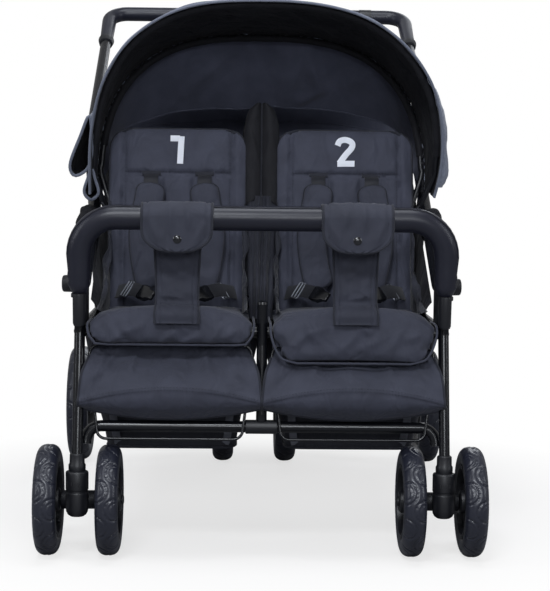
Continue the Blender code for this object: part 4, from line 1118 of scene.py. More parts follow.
def handle_pieces():
    """The U of the handle with its foam sleeve and two end collars."""
    s = setting("stroller_frame")
    grip_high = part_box("handle_grip")[1]
    top = Vector((FOLD_X, grip_high.y - s.handle_grip, grip_high.z - s.handle_grip))
    foot = Vector((FOLD_X, HINGE.y, HINGE.z))
    way = (top - foot).normalized()
    bend = 0.040
    half = [top, foot]
    skins = [tube(rounded_path(across_middle(half) + half, bend), s.tube)]
    for sign in (-1, 1):
        near, far = sign * (HOUSING_OUTER + GAP), sign * (FOLD_X + s.tube + 0.001)
        outline = [(near, 0.020), (near + sign * 0.002, 0.021), (far - sign * 0.003, 0.021), (far, 0.018)]
        skins.append(stack(outline, (0, HINGE.y, HINGE.z), (1, 0, 0), 40))
    piece("handle_tube", skins, "tube", "handle", "handle_bar")
    grip_leg = 0.110
    half = [top, top - way * (bend + grip_leg)]
    path = rounded_path(across_middle(half) + half, bend, 10)
    r = s.handle_grip
    radii = [r - 0.002] + [r] * (len(path) - 2) + [r - 0.002]
    piece("handle_foam", [sleeve(path, radii, s.tube + GAP)], "foam", "handle", "handle_grip")
    collars = []
    for sign in (-1, 1):
        centre = Vector((sign * top.x, 0, 0)) + Vector((0, path[0].y, path[0].z))
        ring = [(-0.006, s.tube + 0.0006), (-0.005, s.tube + 0.0032), (0.010, r + 0.0014)]
        ring += [(0.012, r + 0.0004)]
        collars.append(stack(ring, centre, way))
    joint = [(0.228, r + 0.0003), (0.2285, r + 0.001), (0.2545, r + 0.001), (0.255, r + 0.0003)]
    collars.append(stack(joint, (0, top.y, top.z), (1, 0, 0)))
    piece("handle_collars", collars, "plastic", "handle")


BUMPER_TOP_Z = 0.563
BUMPER_LOW = 0.419
BUMPER_LEAN = 0.153
BUMPER_FOAM_LOW = 0.4388
BUMPER_BEND = 0.062
BUMPER_BAR_R = 0.009


def bumper_y(z):
    return -0.468 - BUMPER_LEAN * (z - BUMPER_LOW)


def bumper_route(low, steps=10):
    """The U of the bumper from a height above its sockets."""
    corners = [(-FRAME_X, bumper_y(low), low), (-FRAME_X, bumper_y(BUMPER_TOP_Z), BUMPER_TOP_Z)]
    corners += [(-x, y, z) for x, y, z in corners[::-1]]
    return rounded_path(corners, BUMPER_BEND, steps)


def bumper_pieces():
    """The bumper's tube and foam cover, which is creased at its ends and sewn along its top."""
    s = setting("stroller_frame")
    piece("bumper_bar", [tube(bumper_route(BUMPER_LOW), BUMPER_BAR_R)], "tube", "bumper", "bumper_tube")
    path = bumper_route(BUMPER_FOAM_LOW)
    way = (path[1] - path[0]).normalized()
    ends = [path[0] + way * along for along in (0.0, 0.006, 0.014, 0.020, 0.028, 0.036)]
    radii = [0.0118, 0.0150, 0.0186, 0.0172, 0.0192, 0.0182]
    r = s.bumper_grip
    path = ends + path[1:-1] + across_middle(ends)
    radii = radii + [r] * (len(path) - 2 * len(radii)) + radii[::-1]
    piece("bumper_foam", [sleeve(path, radii, BUMPER_BAR_R + 0.0004, 36)], "foam", "bumper", "bumper_grip", angle=60)
    ridge = []
    for (point, across, other), radius in zip(frames_along(path), radii):
        level = abs(point.x) < FRAME_X - 0.03
        up = Vector((0, -0.55, 1.0)) if level else Vector((math.copysign(1, point.x), -0.6, 0.3))
        along = across.cross(other)
        up = (up - along * up.dot(along)).normalized()
        ridge.append(point + up * (radius - 0.0002))
    middle = ridge[len(ends) : -len(ends)]
    rows = []
    for hand in (-1, 1):
        shift = Vector((0, hand * 0.0016, hand * -0.0008))
        rows.append(tube([point + shift for point in middle], 0.0007, 6))
    piece("bumper_seam", rows, "foam", "bumper")


def wire_pieces():
    """A bright wire loop behind each sling."""
    for side, sign in SIDES:
        low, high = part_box(f"footrest_wire_{side}")
        r = setting("stroller_frame").wire
        near, far = sorted((abs(low.x), abs(high.x)))
        near, far = near + r, far - r
        top = (high.y - r, high.z - r)
        middle = sign * setting("stroller_seats").seat_x
        foot = (low.y + r, low.z + r)
        corners = [(middle, *top), (sign * far, *top), (sign * (far - 0.018), *foot)]
        corners += [(sign * (near + 0.018), *foot), (sign * near, *top), (middle, *top)]
        path = rounded_path(corners, 0.016, 6)[:-1]
        piece(f"wire_{side}", [tube(path, r, 12, closed=True)], "tube", "frame", f"footrest_wire_{side}")


# Seats


BACK_ANGLE = math.radians(10.3)
BACK_UP = Vector((0, math.sin(BACK_ANGLE), math.cos(BACK_ANGLE)))
BACK_AHEAD = Vector((0, -math.cos(BACK_ANGLE), math.sin(BACK_ANGLE)))
# How far cloth starts from the middle of a rail
RAIL_GAP = 0.0103
SEAM_ACROSS = 0.8
SEAM_UP = 0.755
SLIT_ACROSS = 0.39
SEAT_TOP = 0.4133
SEAT_LOW = 0.3823
FLAP_LOW = 0.348


def back_hinge(row):
    return FRONT_BACK_HINGE if row == "front" else REAR_BACK_HINGE


def back_foot(row, sign):
    foot = Vector((sign * setting("stroller_seats").back_x, back_hinge(row).y, RAIL_Z))
    return foot + BACK_UP * RAIL_GAP


def back_half(u):
    """Half width of a backrest at a share of its height, with rounded upper corners."""
    s = setting("stroller_seats")
    corner = 0.036
    over = max(u * s.back_length - (s.back_length - corner), 0) / corner
    return s.back_half - corner * (1 - math.sqrt(max(1 - over * over, 0)))


def groove(distance, width):
    """How deep a sewn line pulls the cloth in, from 0 to 1."""
    return math.exp(-((distance / width) ** 2))


def back_depth(x, u, seed):
    """Distance of a backrest's front from its middle plane."""
    s = setting("stroller_seats")
    wide = back_half(u)
    across = min(abs(x) / wide, 1.0)
    full = (1 - across**6) * (1 - abs(2 * u - 1) ** 10)
    depth = s.back_thick / 2 * (0.42 + 0.62 * full)
    z = u * s.back_length
    side = abs(abs(x) - SEAM_ACROSS * s.back_half)
    cross = abs(z - SEAM_UP * s.back_length)
    inner = abs(abs(x) - 0.24 * s.back_half) if u < SEAM_UP else 1.0
    pull = max(groove(side, 0.0045), 0.85 * groove(inner, 0.004))
    if abs(x) < SEAM_ACROSS * s.back_half:
        pull = max(pull, groove(cross, 0.0045))
    near = min(side, cross if abs(x) < SEAM_ACROSS * s.back_half else 1.0, inner)
    pucker = math.exp(-near / 0.012) * noise.noise(Vector((x * 95, z * 95, seed))) * 0.0026
    soft = ripple((x, 0.0, z), 0.055, 0.0030, seed) + wrinkles((x, 0.0, z), 0.034, 0.0034, seed, 0.25)
    return depth - 0.0070 * pull + (pucker + soft) * (0.25 + 0.75 * full)


def on_back(row, sign, x, u, lift=0.0):
    """A point on a backrest's front, a little above its cloth; x is from the backrest's middle."""
    depth = back_depth(x, u, back_seed(row, sign)) + lift
    rise = BACK_UP * u * setting("stroller_seats").back_length
    return back_foot(row, sign) + Vector((x, 0, 0)) + rise + BACK_AHEAD * depth


def back_seed(row, sign):
    return (1.3 if sign < 0 else 5.7) + (0.0 if row == "front" else 11.0)


def backrest_pieces(row):
    """A stuffed backrest with sewn channels, a bound edge and two slots for the shoulder straps."""
    s = setting("stroller_seats")
    for side, sign in SIDES:
        body = f"backrest_{row}_{side}"
        front, back = [], []
        across = [k / 32 - 1 for k in range(65)]
        for i in range(85):
            u = i / 84
            half = back_half(u)
            foot = back_foot(row, sign) + BACK_UP * u * s.back_length
            front.append([on_back(row, sign, half * t, u) for t in across])
            back.append([])
            for t in across:
                full = (1 - abs(t) ** 6) * (1 - abs(2 * u - 1) ** 10)
                thick = BACK_AHEAD * s.back_thick / 2 * (0.42 + 0.58 * full)
                back[-1].append(foot + Vector((half * t, 0, 0)) - thick)
        # The pad's finish is the seat cloth made paler, as painted light.
        pad = piece(f"{body}_pad", [slab(front, back)], "rest", body, body, angle=70)
        rim = [(-back_half(u), u) for u in [0.012 + 0.988 * i / 60 for i in range(61)]]
        start = back_foot(row, sign) + BACK_AHEAD * 0.002
        loop = rim + mirrored(rim)
        path = [start + Vector((x, 0, 0)) + BACK_UP * u * s.back_length for x, u in loop]
        piece(f"{body}_binding", [tube(path, s.piping, 10, closed=True)], "binding", body)
        seam_x, lift = SEAM_ACROSS * s.back_half, 0.0004
        lines = [[(hand * (seam_x - 0.004), u / 40) for u in range(1, 38)] for hand in (-1, 1)]
        lines.append([(seam_x * k / 20, SEAM_UP + 0.012) for k in range(-20, 21)])
        seams = [[on_back(row, sign, x, u, lift) for x, u in line] for line in lines]
        stitches(f"{body}_stitches", seams, body, "binding")
        slots = []
        for x in (-SLIT_ACROSS, SLIT_ACROSS):
            middle = on_back(row, sign, x * s.back_half, SEAM_UP, 0.0035)
            line = [middle + Vector((along, 0, 0)) for along in (-0.0165, 0, 0.0165)]
            slots.append(strap(line, BACK_UP, 0.007, 0.003))
        piece(f"{body}_slots", slots, "binding", body)


# Strokes of the plain numerals, across and up, each in a box 0.62 wide and 1 high
NUMERALS = {
    ("front", -1): (((-0.04, 0.91), (0.12, 0.91), (0.28, 0.91)), ((0.34, 0.99), (0.32, 0.5), (0.30, 0.02))),
    ("front", 1): (
        ((-0.02, 0.72), (0.06, 0.88), (0.26, 0.93), (0.47, 0.82), (0.46, 0.64), (0.26, 0.40), (0.04, 0.10)),
        ((-0.03, 0.085), (0.25, 0.085), (0.56, 0.085)),
    ),
    ("rear", -1): (
        ((0.02, 0.80), (0.22, 0.93), (0.44, 0.82), (0.42, 0.62), (0.22, 0.53)),
        ((0.20, 0.53), (0.46, 0.42), (0.48, 0.20), (0.24, 0.07), (0.00, 0.18)),
    ),
    ("rear", 1): (
        ((0.36, 1.0), (0.16, 0.60), (0.00, 0.30)),
        ((-0.03, 0.28), (0.30, 0.28), (0.58, 0.28)),
        ((0.42, 0.62), (0.42, 0.0)),
    ),
}
NUMERAL_STROKE = 0.0108
NUMERAL_MIDDLE = 0.27
NUMERAL_SHIFT = 0.002
# Share of a backrest's height at which its number stands
NUMERAL_FOOT = 0.803


def numeral_pieces(row):
    """A plain number printed on each backrest, laid over its cloth."""
    s = setting("stroller_seats")
    for side, sign in SIDES:
        bands = []
        for number, stroke in enumerate(NUMERALS[(row, sign)]):
            path = []
            for right, up in flat_route(stroke, 8):
                x = (right - NUMERAL_MIDDLE) * s.numeral + NUMERAL_SHIFT
                u = NUMERAL_FOOT + up * s.numeral / s.back_length
                path.append(on_back(row, sign, x, u, 0.0010 + 0.0002 * number))
            across = [(b - a).cross(BACK_AHEAD) for a, b in zip(path, path[1:] + [path[-1] * 2 - path[-2]])]
            bands.append(strap(path, across, NUMERAL_STROKE, 0.0006))
        piece(f"numeral_{row}_{side}", bands, "print", f"backrest_{row}_{side}", angle=60)


# Middle of a shoulder pad: share of the backrest's height, and share of its half width
SHOULDER_ROUTE = (
    (0.695, 0.385), (0.62, 0.41), (0.52, 0.46), (0.42, 0.49), (0.32, 0.47), (0.22, 0.42), (0.14, 0.36),
)


def shoulder_pieces(row):
    """Padded shoulder straps that lie on each backrest, with the webbing that leaves its slots."""
    s = setting("stroller_seats")
    for side, sign in SIDES:
        body = f"backrest_{row}_{side}"
        pads, web, edges = [], [], []
        for hand in (-1, 1):
            route = flat_route(SHOULDER_ROUTE, 8)
            line = [on_back(row, sign, hand * across * s.back_half, u, 0.0105) for u, across in route]
            count = len(line)
            rings, left, right = [], [], []
            for i, point in enumerate(line):
                t = i / (count - 1)
                end = min(t, 1 - t) * 9
                half = 0.0245 * (1.0 if end > 1 else math.sqrt(max(1 - (1 - end) ** 2, 0.02)))
                thick = 0.0072 * (1.0 if end > 1 else 0.45 + 0.55 * end)
                along = (line[min(i + 1, count - 1)] - line[max(i - 1, 0)]).normalized()
                wide = along.cross(BACK_AHEAD).normalized()
                soft = 1 + ripple(point, 0.03, 0.22, hand + sign)
                ring = []
                for k in range(20):
                    a = math.tau * k / 20
                    u = math.copysign(abs(math.cos(a)) ** 0.6, math.cos(a)) * half
                    v = math.copysign(abs(math.sin(a)) ** 0.8, math.sin(a)) * thick * soft
                    ring.append(point + wide * u + BACK_AHEAD * v)
                rings.append(ring)
                left.append(point - wide * (half + 0.0004))
                right.append(point + wide * (half + 0.0004))
            pads.append(loft(rings))
            edges.append(tube(left + right[::-1], 0.0016, 6, closed=True))
            top = on_back(row, sign, hand * SLIT_ACROSS * s.back_half, SEAM_UP, 0.0005)
            mid = on_back(row, sign, hand * 0.395 * s.back_half, 0.725, 0.0065)
            web.append(strap(smooth_route([top, mid, line[2]], 5), (1, 0, 0), s.webbing))
        made = piece(f"{body}_shoulder_pads", pads, "cloth", body, angle=75)
        piece(f"{body}_shoulder_edges", edges, "binding", body)
        piece(f"{body}_webbing", web, "webbing", body)


# Creases of a seat pad's flap: two ends from its middle, width and rise
SEAT_FOLDS = tuple(
    ((x, low), (x + lean, low + rise), 0.009, 0.0060)
    for x, low, lean, rise in (
        (-0.105, 0.352, 0.030, 0.028), (-0.060, 0.360, -0.024, 0.030), (-0.020, 0.350, 0.026, 0.032),
        (0.012, 0.352, 0.034, 0.020), (0.030, 0.372, -0.022, 0.020), (0.060, 0.352, 0.020, 0.036),
        (0.085, 0.366, 0.026, 0.016), (-0.085, 0.378, 0.040, 0.008),
    )
)


def seat_tube_y(row):
    return RAIL_FRONT_Y if row == "front" else REAR_ROW_Y


def seat_profile(row, s, drop, inset=0.0):
    """Side view of a seat pad at a place across it from -1 to 1; its front lip falls towards its ends."""
    rear_y = back_hinge(row).y - 0.0165 - inset
    front = seat_tube_y(row) - 0.047 + inset
    fall = abs(s) ** 3.2
    top = SEAT_LOW + 0.027 - inset + 0.004 * (1 - s * s)
    lip = top - 0.017 * fall
    low = FLAP_LOW - drop + inset
    lean = 0.28 * drop
    floor = SEAT_LOW + inset
    outline = [(rear_y, floor), (rear_y, floor + 0.010), (rear_y - 0.009, top - 0.014 - 0.007 * fall)]
    outline += [((front + rear_y) / 2, top - 0.009 - 0.011 * fall), (front + 0.030, lip - 0.001)]
    outline += [(front + 0.007, lip - 0.006), (front, lip - 0.020)]
    outline += [(front - lean * 0.5, (lip - 0.020 + low) / 2), (front - lean, low + 0.010)]
    outline += [(front - lean + 0.005, low), (front - lean + 0.013 - inset, low + 0.003)]
    outline += [(front + 0.021 - inset - lean * 0.6, low + 0.016)]
    return outline + [(front + 0.022 - inset, floor - 0.004), (front + 0.03, floor)]


# How far a pressed seat pad spreads past its sides
SEAT_SPREAD = 0.006


def seat_point(sign, s, y, z, drop):
    """Place of a seat pad's point; the flap's lower corners are round, more so on the longer flap."""
    half = setting("stroller_seats").seat_half
    height, width = 0.040 + drop * 0.9, 0.036 + drop * 0.5
    over = min(max(FLAP_LOW - drop + height - z, 0) / height, 1.0)
    draw = width * (1 - math.sqrt(max(1 - over**2.2, 0)))
    return Vector((sign * setting("stroller_seats").seat_x + s * (half + SEAT_SPREAD - draw), y, z))


def seat_drop(row, sign):
    """The front right flap hangs lower than the others."""
    return 0.028 if row == "front" and sign > 0 else 0.0


def swollen(name, skin, cap, voxel=0.005):
    """A cover blown up by its stuffing: a cloth simulation of a slightly smaller closed shape."""
    made = in_scene(name, closed_mesh(name, *skin))
    grid = made.modifiers.new("grid", "REMESH")
    grid.mode = "VOXEL"
    grid.voxel_size = voxel
    settle(made)
    start = np.empty(len(made.data.vertices) * 3)
    made.data.vertices.foreach_get("co", start)
    cloth = made.modifiers.new("cloth", "CLOTH")
    cloth.settings.quality = 4
    cloth.settings.use_pressure = True
    cloth.settings.uniform_pressure_force = 4.0
    cloth.settings.effector_weights.gravity = 0.0
    cloth.settings.tension_stiffness = 20.0
    cloth.settings.bending_stiffness = 0.8
    cloth.point_cache.frame_start = 1
    cloth.point_cache.frame_end = 20
    for number in range(1, 21):
        bpy.context.scene.frame_set(number)
    settle(made)
    bpy.context.scene.frame_set(1)
    ends = np.empty_like(start)
    made.data.vertices.foreach_get("co", ends)
    moved = (ends - start).reshape(-1, 3)
    far = np.linalg.norm(moved, axis=1, keepdims=True)
    moved *= np.minimum(1.0, cap / np.maximum(far, 1e-9))
    made.data.vertices.foreach_set("co", (start.reshape(-1, 3) + moved).ravel())
    return made


def seat_pad_pieces(row):
    """Stuffed seat pads with a flap that hangs over the front tube, bound along its edge."""
    piping = setting("stroller_seats").piping
    for side, sign in SIDES:
        drop = seat_drop(row, sign)
        node = f"seat_pad_{row}_{side}"
        rings = []
        for i in range(41):
            s = -1 + i / 20
            shrink = 0.0025
            outline = [Vector((0, y, z)) for y, z in seat_profile(row, s, drop, shrink)]
            outline = smooth_route(outline, 3, closed=True)
            rings.append([seat_point(sign, s, p.y, p.z, drop) for p in outline])
        made = swollen(f"{node}_cushion", loft(rings), 0.0065)
        seed = back_seed(row, sign)
        for v in made.data.vertices:
            v.co.z += ripple((v.co.x, v.co.y, 0), 0.05, 0.0022, seed) * (1 if v.co.z > SEAT_LOW + 0.01 else 0)
            ahead = min(max((seat_tube_y(row) - 0.026 - v.co.y) / 0.010, 0), 1)
            v.co.y -= wrinkles((v.co.x, 0, v.co.z), 0.040, 0.0026, seed, 0.9) * ahead
            v.co.y -= folds(v.co.x - sign * setting("stroller_seats").seat_x, v.co.z, SEAT_FOLDS) * ahead
            v.co.y -= wrinkles((v.co.x, 0, v.co.z), 0.019, 0.0015, seed + 2, -0.5) * ahead
        made.data.materials.append(MATERIALS["cloth"])
        finer = made.modifiers.new("finer", "SUBSURF")
        finer.levels = finer.render_levels = 1
        settle(made)
        made.data.shade_smooth()
        placed(made, BODY_OF[node], node)
        edge = []
        for i in range(81):
            s = -1 + i / 40
            y, z = seat_profile(row, s, drop)[9]
            edge.append(seat_point(sign, s * 0.975, y - 0.001, z + 0.0055, drop))
        sides = []
        for hand in (-1, 1):
            rise = []
            for y, z in seat_profile(row, hand, drop)[2:9]:
                rise.append(seat_point(sign, hand * 0.985, y, z - 0.003, drop))
            sides.append(smooth_route(rise, 5))
        route = sides[0][:-2] + edge[4:-4] + sides[1][:-2][::-1]
        bound = tube(smooth_route(route[::2], 2), piping * 0.62, 10)
        piece(f"{node}_binding", [bound], "cloth", BODY_OF[node])


# Hoods


ARCH_POWER = 2.7
HOOP_START = 0.050
# Each arch of a hood: the Y and Z of its foot and of its top from the hood's pivot, and its half width less
# the frame's
HOOD_HOOPS = {
    "front": (((-0.165, 0.376), 0.004), ((0.080, 0.338), -0.004)),
    "rear": (((-0.060, 0.257), -0.003), ((0.195, 0.246), -0.009)),
}
HOOD_BETWEEN = {
    "front": (((-0.013, 0.051), (-0.085, 0.371), 0.002), ((-0.005, 0.051), (0.0, 0.356), -0.001)),
    "rear": (((0.005, 0.049), (0.020, 0.264), -0.004), ((0.020, 0.049), (0.110, 0.257), -0.006)),
}
HOOD_HEM = {
    "front": (
        ((0.025, 0.052), (0.095, 0.335), -0.005),
        ((0.060, 0.071), (0.155, 0.271), -0.014),
        ((0.095, 0.100), (0.200, 0.218), -0.024),
    ),
    "rear": (
        ((0.040, 0.037), (0.210, 0.237), -0.010),
        ((0.075, 0.027), (0.235, 0.157), -0.019),
        ((0.095, 0.017), (0.245, 0.082), -0.025),
    ),
}
BRIM = Vector((-0.014, -0.004))
# The front hood's right side stands out further than its left
HOOD_BULGE, HOOD_BULGE_LOW, HOOD_BULGE_HIGH = 0.017, 0.585, 0.93
HOOD_COLUMNS = 140
RUFFLE_R = 0.0030


def hood_pivot(row):
    return FRONT_HOOD_PIVOT if row == "front" else REAR_HOOD_PIVOT


def evenly(path, count):
    """Points at even distances along a route."""
    lengths = [0.0]
    for a, b in zip(path, path[1:]):
        lengths.append(lengths[-1] + (b - a).length)
    spots, k = [], 0
    for i in range(count + 1):
        target = lengths[-1] * i / count
        while k < len(path) - 2 and lengths[k + 1] < target:
            k += 1
        span = max(lengths[k + 1] - lengths[k], 1e-9)
        spots.append(path[k].lerp(path[k + 1], (target - lengths[k]) / span))
    return spots


def arch(row, foot, top, half, inset=0.0, count=HOOD_COLUMNS):
    """Even points over one arch, drawn in by a distance all round."""
    foot, top = Vector(foot), Vector(top)
    reach = (top - foot) - (top - foot).normalized() * inset
    wide = FRAME_X + half - inset
    path = []
    for i in range(361):
        angle = math.pi * (1 - i / 360)
        across = math.copysign(abs(math.cos(angle)) ** (2 / ARCH_POWER), math.cos(angle))
        place = foot + reach * max(math.sin(angle), 0) ** (2 / ARCH_POWER)
        point = hood_pivot(row) + Vector((wide * across, place.x, place.y))
        if row == "front" and across > 0:
            t = min(max((point.z - HOOD_BULGE_LOW) / (HOOD_BULGE_HIGH - HOOD_BULGE_LOW), 0), 1)
            share = max(1 - (top.x - HOOD_HOOPS["front"][0][0][0]) / 0.3, 0.12)
            point.x += HOOD_BULGE * share * math.sin(math.pi * t**0.85) ** 0.8 * min(across * 3, 1)
        path.append(point)
    return evenly(path, count)


def hood_arches(row):
    """The arches from the brim to the hem, as (foot, top, half width)."""
    hoops = []
    for top, half in HOOD_HOOPS[row]:
        hoops.append((Vector(top).normalized() * HOOP_START, Vector(top), half))
    foot, top, half = hoops[0]
    brim = (foot + BRIM, top + BRIM, half)
    return [brim, hoops[0], *HOOD_BETWEEN[row], hoops[1], *HOOD_HEM[row]]


def grid_normals(rows, centre):
    """Normals of a grid of points, pointing away from a place."""
    normals = []
    for i, row in enumerate(rows):
        normals.append([])
        for k, point in enumerate(row):
            above, below = rows[max(i - 1, 0)][k], rows[min(i + 1, len(rows) - 1)][k]
            left, right = row[max(k - 1, 0)], row[min(k + 1, len(row) - 1)]
            normal = (right - left).cross(below - above)
            normal = normal.normalized() if normal.length > 1e-12 else Vector((0, 0, 1))
            normals[-1].append(normal if normal.dot(point - centre) > 0 else -normal)
    return normals


def walled(rows, normals, wall, index=0, back_index=None):
    """A closed sheet whose second side lies behind the grid."""
    inner = [[p - n * wall for p, n in zip(row, line)] for row, line in zip(rows, normals)]
    return slab(rows, inner, index, back_index)


def cloth_sheet(made):
    """Hand back a sheet of cloth as it is."""
    return made


def hood_section(row, first, last, steps):
    """A fine grid over the arches from one to another."""
    arches = [arch(row, *shape) for shape in hood_arches(row)]
    lines = [smooth_route(line, steps) for line in zip(*arches)]
    rows = [list(line) for line in zip(*lines)]
    return rows[first * steps : last * steps + 1]


def gathered(distance, along, seed):
    """Height of the gathers beside a seam."""
    fine = noise.noise(Vector((along * 150, 0.3, seed))) + 0.6 * noise.noise(Vector((along * 320, 1.7, seed)))
    return fine * math.exp(-distance / 0.016)


def roof_blend(row):
    """The bodies of a hood's rear hoop and brim, with a place on each."""
    spots = [hood_pivot(row) + Vector((0, top[0] * 0.75, 0)) for top, _ in HOOD_HOOPS[row]]
    return f"{row}_hood_back", f"{row}_hood_brim", spots[1], spots[0]


def hood_front(row, seed):
    """The hood's roof between its two hoops: pale heather outside, black lining inside."""
    s = setting("stroller_hoods")
    rows = hood_section(row, 0, 4, 8)
    centre = hood_pivot(row) + Vector((0, 0, 0.12))
    normals = grid_normals(rows, centre)
    moved = []
    for i, (line, ways) in enumerate(zip(rows, normals)):
        moved.append([])
        for k, (point, way) in enumerate(zip(line, ways)):
            edge = min(i, len(rows) - 1 - i) / (len(rows) - 1)
            sag = -0.0035 * math.sin(math.pi * i / (len(rows) - 1))
            seam = (point - rows[-1][k]).length
            height = ripple(point, 0.075, 0.0045, seed) * min(edge * 5, 1) + sag
            height -= wrinkles(point, 0.045, 0.006, seed) * max(math.sin(math.pi * (i - 9) / 23), 0)
            height += gathered(seam, k / HOOD_COLUMNS, seed) * s.ruffle * 0.45
            moved[-1].append(point + way * height)
    body = roof_blend(row)
    skin = walled(moved, normals, s.wall * 0.55, 0, 1)
    node = f"{row}_hood_fabric"
    made = piece(f"{row}_hood_roof", [skin], ("heather", "lining"), body, node, angle=75)
    cloth_sheet(made)
    away = [(b - a).normalized() for a, b in zip(moved[0], moved[3])]
    brim = [point + way * s.binding * 0.32 for point, way in zip(moved[0], away)]
    piece(f"{row}_hood_binding", [strap(brim, away, s.binding, 0.0044)], "trim", f"{row}_hood_brim", angle=70)
    return moved


# Creases of the front hood's panel: two ends, width and rise
HOOD_FOLDS = (
    ((0.087, 0.872), (0.122, 0.798), 0.016, 0.013), ((0.085, 0.870), (0.046, 0.782), 0.020, 0.009),
    ((0.120, 0.803), (0.070, 0.778), 0.012, 0.009), ((-0.150, 0.800), (-0.060, 0.860), 0.016, 0.006),
    ((0.160, 0.800), (0.210, 0.840), 0.012, 0.006), ((-0.020, 0.790), (-0.018, 0.880), 0.014, 0.005),
)


def hood_panel(row, seed):
    """The hood's back: a charcoal panel that hangs from the rear hoop to a loose hem; its inside is drawn paler, as
    painted light.
    """
    s = setting("stroller_hoods")
    rows = hood_section(row, 4, 7, 14)
    centre = hood_pivot(row) + Vector((0, 0, 0.12))
    normals = grid_normals(rows, centre)
    count = len(rows) - 1
    moved = []
    for i, (line, ways) in enumerate(zip(rows, normals)):
        moved.append([])
        for k, (point, way) in enumerate(zip(line, ways)):
            t, u = i / count, k / HOOD_COLUMNS
            side = min(u, 1 - u) * 6
            free = t * min(side, 1)
            seam = (point - rows[0][k]).length
            height = gathered(seam, u, seed + 3) * s.ruffle * 0.7
            height += ripple((point.x, 0, point.z), 0.085, 0.0075, seed + 8) * min(t * 3, 1) * min(side, 1)
            height -= folds(point.x, point.z, HOOD_FOLDS) if row == "front" else 0
            height += 0.005 * math.sin(u * 31 + seed) * free * 0.5
            drop = ripple((point.x, seed, 0), 0.06, 0.005, seed) - 0.008 * math.sin(math.pi * u)
            moved[-1].append(point + way * height + Vector((0, 0, drop)) * free * t)
    top = HOOD_HOOPS[row][1][0]
    start = hood_pivot(row) + Vector((0, top[0] + 0.11, top[1] * 0.5))
    end = hood_pivot(row) + Vector((0, top[0] * 0.8, top[1] * 0.75))
    body = ("frame", f"{row}_hood_back", start, end)
    skin = walled(moved, normals, 0.0016, 0, 1)
    # The panel's inside takes the seat cloth brightened, as painted light.
    made = piece(f"{row}_hood_panel", [skin], ("heather", "back"), body, angle=75)
    cloth_sheet(made)
    hem = [point - way * 0.0008 for point, way in zip(moved[-1], normals[-1])]
    # The hem takes the same brightened cloth, as painted light.
    piece(f"{row}_hood_hem", [tube(hem, 0.0019, 8)], "back", body, angle=80)
    inset = s.wall + 0.0018
    seam = arch(row, *hood_arches(row)[4], inset=inset, count=520)
    radii = []
    for k in range(len(seam)):
        uneven = 0.75 * noise.noise(Vector((k * 0.33, seed, 0))) + 0.3 * math.sin(k * 0.9)
        radii.append(RUFFLE_R * (1 + uneven))
    lift = [point + Vector((0, 0.0012 * math.sin(k * 0.7), 0)) for k, point in enumerate(seam)]
    piece(f"{row}_hood_ruffle", [tube(lift, radii, 8)], "lining", f"{row}_hood_back", angle=80)


def hoop_path(row, number):
    """Middle line of a hoop, from its pivot on one side to the other."""
    s = setting("stroller_hoods")
    node = f"{row}_hood_front_hoop" if number == 0 else f"{row}_hood_rear_hoop"
    top, half = HOOD_HOOPS[row][number]
    way = Vector(top).normalized()
    inset = s.wall + s.hoop + (0.0007 if row == "front" else 0.0009)
    path = arch(row, way * HOOP_START, top, half, inset)
    end_x = FRAME_X - (0.027 if row == "front" else 0.016)
    # The two hoops of a hood pivot side by side.
    end_x -= 0.0112 * number
    low = hood_pivot(row)
    ends = [low + Vector((-end_x, way.x * along, way.y * along)) for along in (0.0, 0.012, 0.024)]
    return node, ends + path[4:-4] + across_middle(ends)


def hoop_pieces(row):
    s = setting("stroller_hoods")
    for number, place in ((0, "brim"), (1, "back")):
        node, path = hoop_path(row, number)
        body = BODY_OF[node]
        route = smooth_route(path[::3] + [path[-1]], 3)
        skins = [tube(route, s.hoop, 14)]
        boss = [(-0.0052, 0.006), (-0.0045, 0.0078)]
        for end in (path[0], path[-1]):
            skins.append(stack(boss + mirrored(boss), end, (1, 0, 0)))
        piece(f"{row}_hood_hoop_{place}", skins, "hoop", body, node)
        span = route[len(route) // 12 : -len(route) // 12]
        uneven = [noise.noise(Vector((k * 0.35, number, 0))) for k in range(len(span))]
        tunnel = sleeve(span, [s.hoop + 0.0014 + 0.0007 * share for share in uneven], s.hoop + GAP, 16)
        piece(f"{row}_hood_tunnel_{place}", [tunnel], "lining", body, angle=80)


def hood_clamps(row):
    """Cloth-covered clamps on the frame tubes that carry the hoops, with a short elastic loop."""
    pivot = hood_pivot(row)
    for side, sign in SIDES:
        lumps = []
        out, down, swell = (0.009, 0.016, 1.35) if row == "front" else (0.0, 0.0, 1.0)
        for y, z, size in ((-0.012, 0.004, 0.017), (0.010, -0.006, 0.0155), (0.0, 0.016, 0.013)):
            size *= swell
            centre = Vector((sign * (FRAME_X + out), pivot.y + y, pivot.z + z * swell - down))
            rings = []
            for i in range(15):
                a = math.pi * (i + 0.5) / 15
                ring = []
                for k in range(24):
                    b = math.tau * k / 24
                    way = Vector((math.cos(a), math.sin(a) * math.cos(b), math.sin(a) * math.sin(b)))
                    bump = 1 + ripple(centre + way * size, 0.012, 0.20, sign)
                    ring.append(centre + Vector((way.x * 0.92, way.y * 1.1, way.z)) * size * bump)
                rings.append(ring)
            lumps.append(loft(rings))
        piece(f"{row}_hood_clamp_{side}", lumps, "lining", "frame", angle=80)
        x = sign * (FRAME_X - 0.014)
        loop = [(x, pivot.y - 0.014, pivot.z + 0.030), (x - sign * 0.010, pivot.y - 0.022, pivot.z + 0.014)]
        loop += [(x - sign * 0.002, pivot.y - 0.024, pivot.z - 0.002)]
        loop += [(x + sign * 0.004, pivot.y - 0.014, pivot.z - 0.004)]
        piece(f"{row}_hood_elastic_{side}", [tube(smooth_route(loop, 6), 0.0014, 8)], "webbing", "frame")


